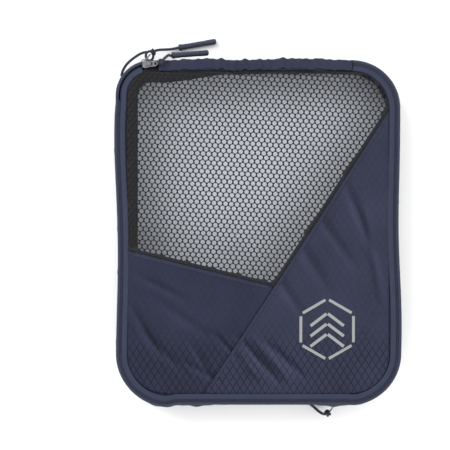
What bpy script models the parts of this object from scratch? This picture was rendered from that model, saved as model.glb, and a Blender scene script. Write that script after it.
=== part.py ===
"""A compression packing cube: a flat zipped fabric case that lies on its back panel, lid up.

+X is across the case, +Y runs towards the lid's hinge side and +Z is up. The origin is the centre of the
back panel's underside. Every band of cloth, tape and coil follows one rounded outline at its own inset.
"""

import math

import bmesh
import bpy
import numpy as np
from mathutils import Matrix, Vector

MM = 0.001

# The rounded outline, seen from above
HALF_WIDTH = 124.6 * MM
HALF_LENGTH = 150.7 * MM
RADIUS_TOP_LEFT = 31.0 * MM
RADIUS_BOTTOM_LEFT = 45.0 * MM
RADIUS_BOTTOM_RIGHT = 44.0 * MM
RADIUS_TOP_RIGHT = 42.0 * MM
ARC_STEP = 7.5  # degrees between stations where a slider runs
COARSE_STEP = 15.0
SIDE_STEP = 30.0 * MM

# Heights
BACK_THICKNESS = 1.2 * MM
CHAIN_HEIGHT = 16.0 * MM  # middle of the compression zip on the side wall
MAIN_ZIP_HEIGHT = 36.7 * MM  # middle of the main zip's coils
LID_RIM = 37.4 * MM  # underside of the lid panels at their edge
LID_RISE = 12.0 * MM
PANEL_THICKNESS = 0.9 * MM

# Insets from the outline
BACK_INSET = 6.5 * MM
COIL_WIDTH = 1.2 * MM
COIL_DEPTH = 1.4 * MM
SLOT = 1.0 * MM  # between the two halves of a closed chain, where the slider's post runs
MAIN_SLOT_INSET = 3.8 * MM
LID_SEAM_INSET = 9.5 * MM
GAP = 0.3 * MM
TAPE = 0.8 * MM

# Angles along the outline, anticlockwise: 90 is the hinge side's left end, 450 its right end
MAIN_CHAIN_LEAD = 6.5 * MM
LID_CHAIN_START = 108.0

# Seams of the lid: the long one runs from the right side to the bottom, the short one joins it
LONG_SEAM = (Vector((0.1117, 0.1025)), Vector((-0.0463, -0.1385)))
SHORT_SEAM = (Vector((-0.1134, -0.0158)), Vector((0.0154, -0.0471)))

# Zip sliders
SLIDER_LENGTH = 10.5 * MM
SLIDER_WIDTH = 6.4 * MM
PLATE = 1.0 * MM
PLATE_GAP = 2.1 * MM
BACK_PLATE_LENGTH = 8.0 * MM
BACK_PLATE_WIDTH = 4.4 * MM
POST_WIDTH = 0.5 * MM
POST_LENGTH = 3.0 * MM
BRIDGE_WIDTH = 2.0 * MM
BRIDGE_LENGTH = 6.4 * MM
BRIDGE_HEIGHT = 3.0 * MM
BRIDGE_BAR = 0.9 * MM
TAB_LENGTH = 7.9 * MM
TAB_WIDTH = 4.6 * MM
TAB_THICKNESS = 1.0 * MM
TAB_SHAFT = 2.9 * MM  # width of the window in the tab that the bridge passes through
MAIN_SLIDER_ANGLE = 94.0
CORNER_SLIDER_ANGLE = 101.0
BOTTOM_SLIDER_X = 68.5 * MM

# Puller cords and grips
CORD_DIAMETER = 2.4 * MM
CORD_SPACING = 2.2 * CORD_DIAMETER
GRIP_LENGTH = 34.0 * MM
GRIP_RADIUS = 2.6 * MM
COLLAR_RADIUS = 2.9 * MM
COLLAR_LENGTH = 2.6 * MM
COLLAR_START = 0.9 * MM  # clear of the cord's slanted end
GRIP_SIDES = 12

# Routes of the cords, from the pull tab's eye to the grip's collar
MAIN_CORD_ROUTE = (
    (-0.08692, 0.14743, 0.0401),
    (-0.0853, 0.1479, 0.0414),
    (-0.0838, 0.1491, 0.0424),
    (-0.0822, 0.1508, 0.0424),
    (-0.0806, 0.1526, 0.0412),
    (-0.0792, 0.1540, 0.0390),
    (-0.0782, 0.1549, 0.0362),
    (-0.0774, 0.1551, 0.0333),
    (-0.0762, 0.1551, 0.0305),
)
CORNER_CORD_ROUTE = (
    (-0.0940, 0.1588, 0.0160),
    (-0.0914, 0.1604, 0.0158),
    (-0.0886, 0.1614, 0.0147),
    (-0.0861, 0.1620, 0.0122),
    (-0.0838, 0.1624, 0.0090),
    (-0.0812, 0.1628, 0.0060),
    (-0.0780, 0.1632, 0.0040),
    (-0.0745, 0.1638, 0.0032),
    (-0.0710, 0.1645, 0.0031),
)
CORNER_TAIL_ROUTE = (
    (-0.0972, 0.1596, 0.0160),
    (-0.1000, 0.1593, 0.0158),
    (-0.1034, 0.1583, 0.0150),
    (-0.1068, 0.1565, 0.0137),
    (-0.1101, 0.1544, 0.0121),
    (-0.1132, 0.1521, 0.0103),
    (-0.1160, 0.1496, 0.0084),
    (-0.1184, 0.1465, 0.0065),
    (-0.1202, 0.1430, 0.0048),
    (-0.1211, 0.1394, 0.0035),
)
BOTTOM_CORD_ROUTE = (
    (0.0632, -0.1592, 0.0160),
    (0.0612, -0.1607, 0.0146),
    (0.0590, -0.1611, 0.0111),
    (0.0568, -0.1606, 0.0077),
    (0.0545, -0.1592, 0.0048),
    (0.0520, -0.1571, 0.0033),
    (0.0492, -0.1547, 0.0031),
    (0.0461, -0.1525, 0.0031),
    (0.0427, -0.1510, 0.0031),
    (0.0390, -0.1503, 0.0031),
)
MAIN_GRIP_END = Vector((-0.0446, 0.1585, 0.0197))
CORNER_GRIP_END = Vector((-0.0375, 0.1702, 0.0031))
BOTTOM_GRIP_END = Vector((0.0050, -0.1502, 0.0031))

CORNERS = (
    (Vector((-HALF_WIDTH + RADIUS_TOP_LEFT, HALF_LENGTH - RADIUS_TOP_LEFT)), RADIUS_TOP_LEFT),
    (Vector((-HALF_WIDTH + RADIUS_BOTTOM_LEFT, -HALF_LENGTH + RADIUS_BOTTOM_LEFT)), RADIUS_BOTTOM_LEFT),
    (Vector((HALF_WIDTH - RADIUS_BOTTOM_RIGHT, -HALF_LENGTH + RADIUS_BOTTOM_RIGHT)), RADIUS_BOTTOM_RIGHT),
    (Vector((HALF_WIDTH - RADIUS_TOP_RIGHT, HALF_LENGTH - RADIUS_TOP_RIGHT)), RADIUS_TOP_RIGHT),
)

# colour, roughness, metallic
FINISHES = {
    "navy_ripstop": ((0.045, 0.051, 0.085), 0.62, 0.0),
    "navy_lining": ((0.050, 0.056, 0.085), 0.55, 0.0),
    "navy_tape": ((0.055, 0.065, 0.105), 0.75, 0.0),
    "navy_coil": ((0.025, 0.030, 0.055), 0.45, 0.0),
    "black_mesh": ((0.012, 0.012, 0.014), 0.70, 0.0),
    "slider_metal": ((0.42, 0.42, 0.44), 0.35, 1.0),
    "navy_cord": ((0.020, 0.024, 0.042), 0.70, 0.0),
    "grip_rubber": ((0.040, 0.047, 0.075), 0.55, 0.0),
}


def clear_scene():
    """Removes whatever the start file holds."""
    for obj in list(bpy.data.objects):
        bpy.data.objects.remove(obj, do_unlink=True)


def finish(name):
    """The Principled material of that name, made once."""
    material = bpy.data.materials.get(name)
    if material is None:
        colour, roughness, metallic = FINISHES[name]
        material = bpy.data.materials.new(name)
        material.use_nodes = True
        shader = material.node_tree.nodes["Principled BSDF"]
        shader.inputs["Base Color"].default_value = (*colour, 1.0)
        shader.inputs["Roughness"].default_value = roughness
        shader.inputs["Metallic"].default_value = metallic
    return material


def add_object(name, data, finish_name):
    """Links a mesh or curve to the scene as one named object."""
    obj = bpy.data.objects.new(name, data)
    bpy.context.scene.collection.objects.link(obj)
    data.materials.clear()
    data.materials.append(finish(finish_name))
    return obj


def add_mesh(name, bm, finish_name):
    """Turns a bmesh into one named object with its faces pointing out."""
    bmesh.ops.recalc_face_normals(bm, faces=bm.faces)
    mesh = bpy.data.meshes.new(name)
    bm.to_mesh(mesh)
    bm.free()
    return add_object(name, mesh, finish_name)


def stations(first=90.0, last=450.0, step=ARC_STEP, lead=0.0):
    """(arc centre, outer radius, angle) along the outline, anticlockwise between two angles."""
    found = []
    if lead:
        centre, radius = CORNERS[0]
        found.append((centre + Vector((lead, 0.0)), radius, math.radians(90.0)))
    for number, (centre, radius) in enumerate(CORNERS):
        low = max(first, 90.0 * (number + 1))
        high = min(last, 90.0 * (number + 2))
        steps = max(1, round((high - low) / step))
        for angle in np.linspace(low, high, steps + 1):
            found.append((centre, radius, math.radians(angle)))
    return found


def place(station, inset, height):
    """The point at an inset from the outline, in the station's own plane."""
    centre, radius, angle = station
    reach = radius - inset
    return Vector((centre.x + reach * math.cos(angle), centre.y + reach * math.sin(angle), height))


def loft(rings, closed):
    """Joins rings of points with quads: round on itself, or capped at its two ends."""
    bm = bmesh.new()
    grid = [[bm.verts.new(point) for point in ring] for ring in rings]
    count = len(grid[0])
    pairs = list(zip(grid, grid[1:]))
    if closed:
        pairs.append((grid[-1], grid[0]))
    else:
        bm.faces.new(grid[0])
        bm.faces.new(grid[-1])
    for one, other in pairs:
        for k in range(count):
            n = (k + 1) % count
            bm.faces.new((one[k], one[n], other[n], other[k]))
    return bm


def band(name, section, finish_name, path=None):
    """A section of (inset, height) points carried along the outline: a whole ring unless a path is given."""
    closed = path is None
    path = path or stations(step=COARSE_STEP)
    return add_mesh(name, loft([[place(s, *point) for point in section] for s in path], closed), finish_name)


def box_section(inset, height, depth, tall):
    """Four corners of a band that starts at an inset and a height."""
    return [(inset, height), (inset, height + tall), (inset + depth, height + tall), (inset + depth, height)]


def dome(x, y):
    """Height of the lid above its rim: two parabolic crowns multiplied together."""
    across = max(0.0, 1.0 - (x / (HALF_WIDTH - LID_SEAM_INSET)) ** 2)
    along = max(0.0, 1.0 - (y / (HALF_LENGTH - LID_SEAM_INSET)) ** 2)
    return LID_RISE * across * along


def divided(outline):
    """A closed outline with points added along its straight sides."""
    found = []
    for point, following in zip(outline, outline[1:] + outline[:1]):
        pieces = max(1, round((following - point).length / SIDE_STEP))
        found += [point.lerp(following, k / pieces) for k in range(pieces)]
    return found


def domed_slab():
    """The whole lid as one crowned slab, before it is cut along its seams."""
    bm = bmesh.new()
    rim = divided([place(s, LID_SEAM_INSET, 0.0) for s in stations(step=COARSE_STEP)])
    layers = []
    for lift in (0.0, PANEL_THICKNESS):
        loops = []
        for share in (1.0, 0.93, 0.82, 0.66, 0.44, 0.2):
            points = [point * share for point in rim]
            loops.append([bm.verts.new((p.x, p.y, LID_RIM + lift + dome(p.x, p.y))) for p in points])
        middle = bm.verts.new((0.0, 0.0, LID_RIM + lift + dome(0.0, 0.0)))
        layers.append((loops, middle))
    count = len(rim)
    for loops, middle in layers:
        for outer, inner in zip(loops, loops[1:]):
            for k in range(count):
                n = (k + 1) % count
                bm.faces.new((outer[k], outer[n], inner[n], inner[k]))
        for k in range(count):
            bm.faces.new((loops[-1][k], loops[-1][(k + 1) % count], middle))
    lower, upper = layers[0][0][0], layers[1][0][0]
    for k in range(count):
        n = (k + 1) % count
        bm.faces.new((lower[k], lower[n], upper[n], upper[k]))
    bmesh.ops.recalc_face_normals(bm, faces=bm.faces)
    return bm


def cut_away(bm, seam, side):
    """Cuts a slab along a seam and keeps the part on one side of it, half a gap from the seam."""
    start, end = seam
    along = (end - start).normalized()
    normal = Vector((-along.y, along.x)) * side
    point = start - normal * GAP / 2
    geometry = bm.verts[:] + bm.edges[:] + bm.faces[:]
    bmesh.ops.bisect_plane(
        bm,
        geom=geometry,
        dist=1e-7,
        plane_co=(point.x, point.y, 0.0),
        plane_no=(normal.x, normal.y, 0.0),
        clear_outer=True,
    )
    edges = [edge for edge in bm.edges if edge.is_boundary]
    bmesh.ops.holes_fill(bm, edges=edges, sides=0)


def lid_panel(name, cuts, finish_name):
    """One panel of the lid: the crowned slab, cut along one or two seams."""
    bm = domed_slab()
    for seam, side in cuts:
        cut_away(bm, seam, side)
    bmesh.ops.triangulate(bm, faces=[face for face in bm.faces if len(face.verts) > 4])
    return add_mesh(name, bm, finish_name)


def seam_binding(name, seam, trim_start, trim_end):
    """A flat tape sewn under a lid seam, following the crown of the lid."""
    start, end = seam
    along = (end - start).normalized()
    across = Vector((-along.y, along.x)) * 3.0 * MM
    first = start + along * trim_start
    last = end - along * trim_end
    rings = []
    for share in np.linspace(0.0, 1.0, 13):
        point = first.lerp(last, share)
        low = LID_RIM + dome(point.x, point.y) - 2.0 * MM
        high = low + 0.6 * MM
        left, right = point + across, point - across
        corners = ((left, low), (left, high), (right, high), (right, low))
        rings.append([Vector((p.x, p.y, height)) for p, height in corners])
    return add_mesh(name, loft(rings, False), "navy_tape")


def back_panel():
    """The flat panel that the case lies on."""
    bm = bmesh.new()
    outline = [bm.verts.new(place(s, BACK_INSET, 0.0)) for s in stations(step=COARSE_STEP)]
    face = bm.faces.new(outline)
    extruded = bmesh.ops.extrude_face_region(bm, geom=[face])
    raised = [item for item in extruded["geom"] if isinstance(item, bmesh.types.BMVert)]
    bmesh.ops.translate(bm, verts=raised, vec=(0.0, 0.0, BACK_THICKNESS))
    return add_mesh("back_panel", bm, "navy_ripstop")


def lower_shell():
    """Back panel, its bound seam, the lower side wall and the lower half of the compression zip."""
    back_panel()
    binding = box_section(5.3 * MM, 1.5 * MM, 1.6 * MM, 1.6 * MM)
    band("back_seam_binding", binding, "navy_tape")
    wall = [
        (6.2 * MM, 3.4 * MM),
        (6.4 * MM, 6.0 * MM),
        (3.4 * MM, 9.3 * MM),
        (2.0 * MM, 10.4 * MM),
        (3.1 * MM, 10.4 * MM),
        (4.4 * MM, 9.6 * MM),
        (7.6 * MM, 6.4 * MM),
        (7.4 * MM, 3.4 * MM),
    ]
    band("lower_side_wall", wall, "navy_ripstop")
    half = SLOT / 2
    tape_top = CHAIN_HEIGHT - half - COIL_WIDTH - GAP
    tape = box_section(1.4 * MM, 10.7 * MM, TAPE, tape_top - 10.7 * MM)
    band("compression_lower_tape", tape, "navy_tape", stations())
    coil = box_section(1.1 * MM, CHAIN_HEIGHT - half - COIL_WIDTH, COIL_DEPTH, COIL_WIDTH)
    band("compression_lower_coil", coil, "navy_coil", stations())


def upper_shell():
    """Upper side wall with the upper half of the compression zip and the lower half of the main zip."""
    half = SLOT / 2
    coil = box_section(1.1 * MM, CHAIN_HEIGHT + half, COIL_DEPTH, COIL_WIDTH)
    band("compression_upper_coil", coil, "navy_coil", stations())
    tape_low = CHAIN_HEIGHT + half + COIL_WIDTH + GAP
    tape = box_section(1.4 * MM, tape_low, TAPE, 22.0 * MM - tape_low)
    band("compression_upper_tape", tape, "navy_tape", stations())
    wall = [
        (1.4 * MM, 22.3 * MM),
        (0.0 * MM, 26.0 * MM),
        (0.0 * MM, 29.0 * MM),
        (0.4 * MM, 33.0 * MM),
        (1.5 * MM, 33.0 * MM),
        (1.1 * MM, 29.0 * MM),
        (1.1 * MM, 26.0 * MM),
        (2.5 * MM, 22.3 * MM),
    ]
    band("upper_side_wall", wall, "navy_ripstop")
    path = stations(first=90.0, lead=MAIN_CHAIN_LEAD)
    outer = MAIN_SLOT_INSET - half
    turned_tape = [
        (0.2 * MM, 33.3 * MM),
        (0.2 * MM, 35.6 * MM),
        (0.9 * MM, 36.9 * MM),
        (outer - COIL_WIDTH - GAP, 37.2 * MM),
        (outer - COIL_WIDTH - GAP, 36.4 * MM),
        (1.2 * MM, 36.2 * MM),
        (1.0 * MM, 35.4 * MM),
        (1.0 * MM, 33.3 * MM),
    ]
    band("main_zip_lower_tape", turned_tape, "navy_tape", path)
    low = MAIN_ZIP_HEIGHT - COIL_DEPTH / 2
    band("main_zip_lower_coil", box_section(outer - COIL_WIDTH, low, COIL_WIDTH, COIL_DEPTH), "navy_coil", path)


def expansion_gusset():
    """The pleat of cloth between the two halves of the compression zip, folded into the case."""
    pleat = [
        (4.4 * MM, 10.6 * MM),
        (11.4 * MM, 16.0 * MM),
        (4.4 * MM, 21.6 * MM),
        (4.4 * MM, 20.4 * MM),
        (9.8 * MM, 16.0 * MM),
        (4.4 * MM, 11.8 * MM),
    ]
    band("expansion_gusset", pleat, "navy_ripstop")


def hinge_gusset():
    """The gathered strip that joins the lid to the upper wall along the hinge side."""
    section = [
        (9.1 * MM, 37.2 * MM),
        (9.1 * MM, 38.4 * MM),
        (2.4 * MM, 38.9 * MM),
        (0.0 * MM, 37.6 * MM),
        (0.0 * MM, 33.3 * MM),
        (1.1 * MM, 33.3 * MM),
        (1.1 * MM, 36.8 * MM),
        (3.0 * MM, 37.9 * MM),
    ]
    rings = []
    for x in np.linspace(CORNERS[0][0].x + 7.2 * MM, CORNERS[3][0].x - GAP, 5):
        rings.append([Vector((x, HALF_LENGTH - inset, height)) for inset, height in section])
    add_mesh("hinge_gusset", loft(rings, False), "navy_ripstop")


def lid():
    """The lid: its half of the main zip, three panels and the bindings sewn under their seams."""
    path = stations(first=LID_CHAIN_START)
    inner = MAIN_SLOT_INSET + SLOT / 2
    low = MAIN_ZIP_HEIGHT - COIL_DEPTH / 2
    band("lid_zip_coil", box_section(inner, low, COIL_WIDTH, COIL_DEPTH), "navy_coil", path)
    first = inner + COIL_WIDTH + GAP
    tape = [
        (first, 36.2 * MM),
        (first, 37.0 * MM),
        (LID_SEAM_INSET - GAP, 38.1 * MM),
        (LID_SEAM_INSET - GAP, 37.3 * MM),
    ]
    band("lid_zip_tape", tape, "navy_tape", path)
    lid_panel("lid_mesh_window", ((LONG_SEAM, 1), (SHORT_SEAM, -1)), "black_mesh")
    lid_panel("lid_right_panel", ((LONG_SEAM, -1),), "navy_ripstop")
    lid_panel("lid_corner_panel", ((LONG_SEAM, 1), (SHORT_SEAM, 1)), "navy_ripstop")
    seam_binding("lid_long_seam_binding", LONG_SEAM, 4.0 * MM, 4.0 * MM)
    seam_binding("lid_short_seam_binding", SHORT_SEAM, 3.0 * MM, 8.0 * MM)
    binding = box_section(8.4 * MM, 35.4 * MM, 2.6 * MM, 1.0 * MM)
    band("lid_edge_binding", binding, "navy_tape")


def plate(bm, outline, low, high):
    """Extrudes a flat outline between two heights, in the bmesh's own frame."""
    face = bm.faces.new([bm.verts.new((x, y, low)) for x, y in outline])
    extruded = bmesh.ops.extrude_face_region(bm, geom=[face])
    raised = [item for item in extruded["geom"] if isinstance(item, bmesh.types.BMVert)]
    bmesh.ops.translate(bm, verts=raised, vec=(0.0, 0.0, high - low))


def guide(name, bm):
    """A hidden solid that a Boolean joins to another."""
    obj = add_mesh(name, bm, "slider_metal")
    obj.hide_render = True
    obj.display_type = "WIRE"
    return obj


def rectangle(length, width):
    """Corners of a rectangle about the origin, its length along X."""
    half, side = length / 2, width / 2
    return [(-half, -side), (half, -side), (half, side), (-half, side)]


def slider_mesh():
    """A zip slider about the chain's middle: X along the chain, Y across it and Z out of the tape."""
    half = SLIDER_LENGTH / 2
    side = SLIDER_WIDTH / 2
    shield = [
        (-half, -side * 0.72),
        (-half * 0.2, -side * 0.78),
        (half * 0.55, -side),
        (half, -side * 0.72),
        (half, side * 0.72),
        (half * 0.55, side),
        (-half * 0.2, side * 0.78),
        (-half, side * 0.72),
    ]
    front = PLATE_GAP / 2
    bm = bmesh.new()
    plate(bm, shield, front, front + PLATE)
    body = add_mesh("slider_body", bm, "slider_metal")

    bm = bmesh.new()
    plate(bm, rectangle(BACK_PLATE_LENGTH, BACK_PLATE_WIDTH), -front - PLATE, -front)
    back = guide("slider_back_plate", bm)

    bm = bmesh.new()
    post = rectangle(POST_LENGTH, POST_WIDTH)
    plate(bm, post, -front - PLATE / 2, front + PLATE / 2)
    column = guide("slider_post", bm)

    foot = front + PLATE / 2
    top = front + PLATE + BRIDGE_HEIGHT
    reach = BRIDGE_LENGTH / 2
    arch = [
        (-reach, foot),
        (-reach, top - 1.2 * MM),
        (-reach + 1.2 * MM, top),
        (reach - 1.2 * MM, top),
        (reach, top - 1.2 * MM),
        (reach, foot),
        (reach - BRIDGE_BAR, foot),
        (reach - BRIDGE_BAR, top - BRIDGE_BAR),
        (-reach + BRIDGE_BAR, top - BRIDGE_BAR),
        (-reach + BRIDGE_BAR, foot),
    ]
    rings = []
    for across in (-BRIDGE_WIDTH / 2, BRIDGE_WIDTH / 2):
        rings.append([Vector((x, across, z)) for x, z in arch])
    bridge = guide("slider_bridge", loft(rings, False))

    for operand in (column, back, bridge):
        union = body.modifiers.new("join", "BOOLEAN")
        union.operation = "UNION"
        union.object = operand
    bpy.context.view_layer.update()
    graph = bpy.context.evaluated_depsgraph_get()
    mesh = bpy.data.meshes.new_from_object(body.evaluated_get(graph))
    for obj in (body, column, back, bridge):
        bpy.data.objects.remove(obj, do_unlink=True)
    return mesh


def tab_mesh():
    """A pull tab from its pin at the origin along +X: a frame round the bridge, then an eye for the cord."""
    side = TAB_WIDTH / 2
    shaft = TAB_SHAFT / 2
    pin = 0.5 * MM
    outer = [(-pin, -side), (TAB_LENGTH - 1.5 * MM, -side), (TAB_LENGTH, -side * 0.4)]
    outer += [(x, -y) for x, y in reversed(outer)]
    window = [(pin, -shaft), (4.0 * MM, -shaft), (4.0 * MM, shaft), (pin, shaft)]
    eye = [(5.0 * MM, -1.2 * MM), (6.9 * MM, -1.2 * MM), (6.9 * MM, 1.2 * MM), (5.0 * MM, 1.2 * MM)]
    half = TAB_THICKNESS / 2
    bm = bmesh.new()
    plate(bm, outer, -half, half)
    body = add_mesh("tab_body", bm, "slider_metal")
    cutters = []
    for name, outline in (("tab_window", window), ("tab_eye", eye)):
        bm = bmesh.new()
        plate(bm, outline, -2 * half, 2 * half)
        cutter = guide(name, bm)
        cut = body.modifiers.new(name, "BOOLEAN")
        cut.operation = "DIFFERENCE"
        cut.object = cutter
        cutters.append(cutter)
    bpy.context.view_layer.update()
    graph = bpy.context.evaluated_depsgraph_get()
    mesh = bpy.data.meshes.new_from_object(body.evaluated_get(graph))
    for obj in (body, *cutters):
        bpy.data.objects.remove(obj, do_unlink=True)
    return mesh


def frame_of(position, along, out):
    """A placing matrix whose X runs along the chain and whose Z stands out of the tape."""
    z = out.normalized()
    x = (along - z * along.dot(z)).normalized()
    y = z.cross(x)
    turned = Matrix((x, y, z)).transposed()
    return Matrix.Translation(position) @ turned.to_4x4()


def smooth_route(points):
    """Points every couple of diameters on a smooth curve through a route's own points."""
    route = np.array(points)
    reach = np.concatenate([[0.0], np.cumsum(np.linalg.norm(np.diff(route, axis=0), axis=1))])
    slopes = np.gradient(route, reach, axis=0)
    wanted = np.linspace(0.0, reach[-1], max(4, round(reach[-1] / CORD_SPACING)) + 1)
    found = []
    for value in wanted:
        k = min(np.searchsorted(reach, value, side="right") - 1, len(reach) - 2)
        span = reach[k + 1] - reach[k]
        t = (value - reach[k]) / span
        bend = (2 * t**3 - 3 * t**2 + 1) * route[k] + (3 * t**2 - 2 * t**3) * route[k + 1]
        lean = (t**3 - 2 * t**2 + t) * slopes[k] + (t**3 - t**2) * slopes[k + 1]
        found.append(bend + span * lean)
    return found


def cord(name, route):
    """A plain tube along a smooth route, with closed ends."""
    curve = bpy.data.curves.new(name, "CURVE")
    curve.dimensions = "3D"
    curve.bevel_depth = CORD_DIAMETER / 2
    curve.bevel_resolution = 2
    curve.use_fill_caps = True
    points = smooth_route(route)
    spline = curve.splines.new("POLY")
    spline.points.add(len(points) - 1)
    for target, point in zip(spline.points, points):
        target.co = (*point, 1.0)
    return add_object(name, curve, "navy_cord")


def grip(name, route, end):
    """A moulded grip: a stepped collar round the cord's end, then a slim body with a rounded tip."""
    start = Vector(route[-1])
    along = (end - start).normalized()
    side = along.cross(Vector((0.0, 0.0, 1.0))).normalized()
    up = side.cross(along)
    first = COLLAR_START
    profile = (
        (first, COLLAR_RADIUS - 0.5 * MM),
        (first + 0.5 * MM, COLLAR_RADIUS),
        (first + COLLAR_LENGTH, COLLAR_RADIUS),
        (first + COLLAR_LENGTH + 0.4 * MM, GRIP_RADIUS),
        (GRIP_LENGTH - 0.6 * MM, GRIP_RADIUS),
        (GRIP_LENGTH, GRIP_RADIUS - 0.6 * MM),
    )
    rings = []
    for reach, radius in profile:
        ring = []
        for k in range(GRIP_SIDES):
            angle = 2 * math.pi * k / GRIP_SIDES
            ring.append(start + along * reach + (side * math.cos(angle) + up * math.sin(angle)) * radius)
        rings.append(ring)
    obj = add_mesh(name, loft(rings, False), "grip_rubber")
    obj.data.shade_smooth()
    obj.data.set_sharp_from_angle(angle=math.radians(35.0))
    return obj


def slider_set(name, position, along, out, route, end, shared):
    """A slider, the tab hinged in its bridge, the cord through the tab's eye and the grip on the cord."""
    slider_shape, tab_shape = shared
    slider = add_object(name + "_slider", slider_shape.copy(), "slider_metal")
    slider.matrix_world = frame_of(position, along, out)
    pin = position + out.normalized() * (PLATE_GAP / 2 + PLATE + 1.1 * MM)
    reach = Vector(route[0]) - pin
    tab = add_object(name + "_pull_tab", tab_shape.copy(), "slider_metal")
    sideways = out.cross(along)
    tab.matrix_world = frame_of(pin, reach, reach.cross(sideways) * -1.0)
    cord(name + "_pull_cord", route)
    grip(name + "_pull_grip", route, end)


def sliders():
    """The three sliders with their pullers."""
    shared = (slider_mesh(), tab_mesh())
    centre, radius = CORNERS[0]
    up = Vector((0.0, 0.0, 1.0))

    angle = math.radians(MAIN_SLIDER_ANGLE)
    outward = Vector((math.cos(angle), math.sin(angle), 0.0))
    reach = outward * (radius - MAIN_SLOT_INSET)
    position = Vector((centre.x, centre.y, MAIN_ZIP_HEIGHT)) + reach
    along = up.cross(outward)
    slider_set("main", position, along, up, MAIN_CORD_ROUTE, MAIN_GRIP_END, shared)

    angle = math.radians(CORNER_SLIDER_ANGLE)
    outward = Vector((math.cos(angle), math.sin(angle), 0.0))
    chain_inset = 1.1 * MM + COIL_DEPTH / 2
    reach = outward * (radius - chain_inset)
    position = Vector((centre.x, centre.y, CHAIN_HEIGHT)) + reach
    along = up.cross(outward)
    slider_set("corner", position, along, outward, CORNER_CORD_ROUTE, CORNER_GRIP_END, shared)
    cord("corner_cord_tail", CORNER_TAIL_ROUTE)

    outward = Vector((0.0, -1.0, 0.0))
    position = Vector((BOTTOM_SLIDER_X, -HALF_LENGTH + chain_inset, CHAIN_HEIGHT))
    along = Vector((-1.0, 0.0, 0.0))
    slider_set("bottom", position, along, outward, BOTTOM_CORD_ROUTE, BOTTOM_GRIP_END, shared)


def main():
    """Builds the case from the floor up."""
    clear_scene()
    lower_shell()
    expansion_gusset()
    upper_shell()
    hinge_gusset()
    lid()
    sliders()


main()
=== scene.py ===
"""Looks of a compression packing cube: cloth, zips, net, sliders and corded pullers round the CAD frame."""

import logging
import math
from dataclasses import dataclass, field
from enum import Enum
from typing import Callable, Sequence

import bpy
import numpy as np
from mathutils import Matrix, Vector


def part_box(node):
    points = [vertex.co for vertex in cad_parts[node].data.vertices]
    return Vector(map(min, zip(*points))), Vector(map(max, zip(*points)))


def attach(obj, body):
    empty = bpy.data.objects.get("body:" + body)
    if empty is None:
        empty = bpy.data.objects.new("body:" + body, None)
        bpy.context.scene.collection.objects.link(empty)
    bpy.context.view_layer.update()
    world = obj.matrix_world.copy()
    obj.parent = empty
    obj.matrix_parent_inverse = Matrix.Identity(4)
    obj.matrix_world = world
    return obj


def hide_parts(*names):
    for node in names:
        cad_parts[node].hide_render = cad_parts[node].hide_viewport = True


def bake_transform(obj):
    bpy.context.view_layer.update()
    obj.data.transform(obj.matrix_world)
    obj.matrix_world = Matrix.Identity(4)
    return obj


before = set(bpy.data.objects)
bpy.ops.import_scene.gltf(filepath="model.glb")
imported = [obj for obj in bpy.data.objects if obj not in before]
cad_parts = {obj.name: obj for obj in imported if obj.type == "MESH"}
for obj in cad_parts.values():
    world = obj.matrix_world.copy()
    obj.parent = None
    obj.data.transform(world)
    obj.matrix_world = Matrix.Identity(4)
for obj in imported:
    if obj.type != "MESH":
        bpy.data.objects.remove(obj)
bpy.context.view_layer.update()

LOG = logging.getLogger("packing_cube")
MM = 0.001
Array = np.ndarray
Triple = tuple[float, float, float]


class Body(str, Enum):
    """The CAD bodies that pieces ride on."""

    BASE = "base"
    UPPER = "upper"
    LID = "lid"
    MAIN_SLIDER = "main_slider"
    MAIN_PULLER = "main_puller"
    CORNER_SLIDER = "corner_slider"
    CORNER_PULLER = "corner_puller"
    BOTTOM_SLIDER = "bottom_slider"
    BOTTOM_PULLER = "bottom_puller"


# ---------------------------------------------------------------- finishes


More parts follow.
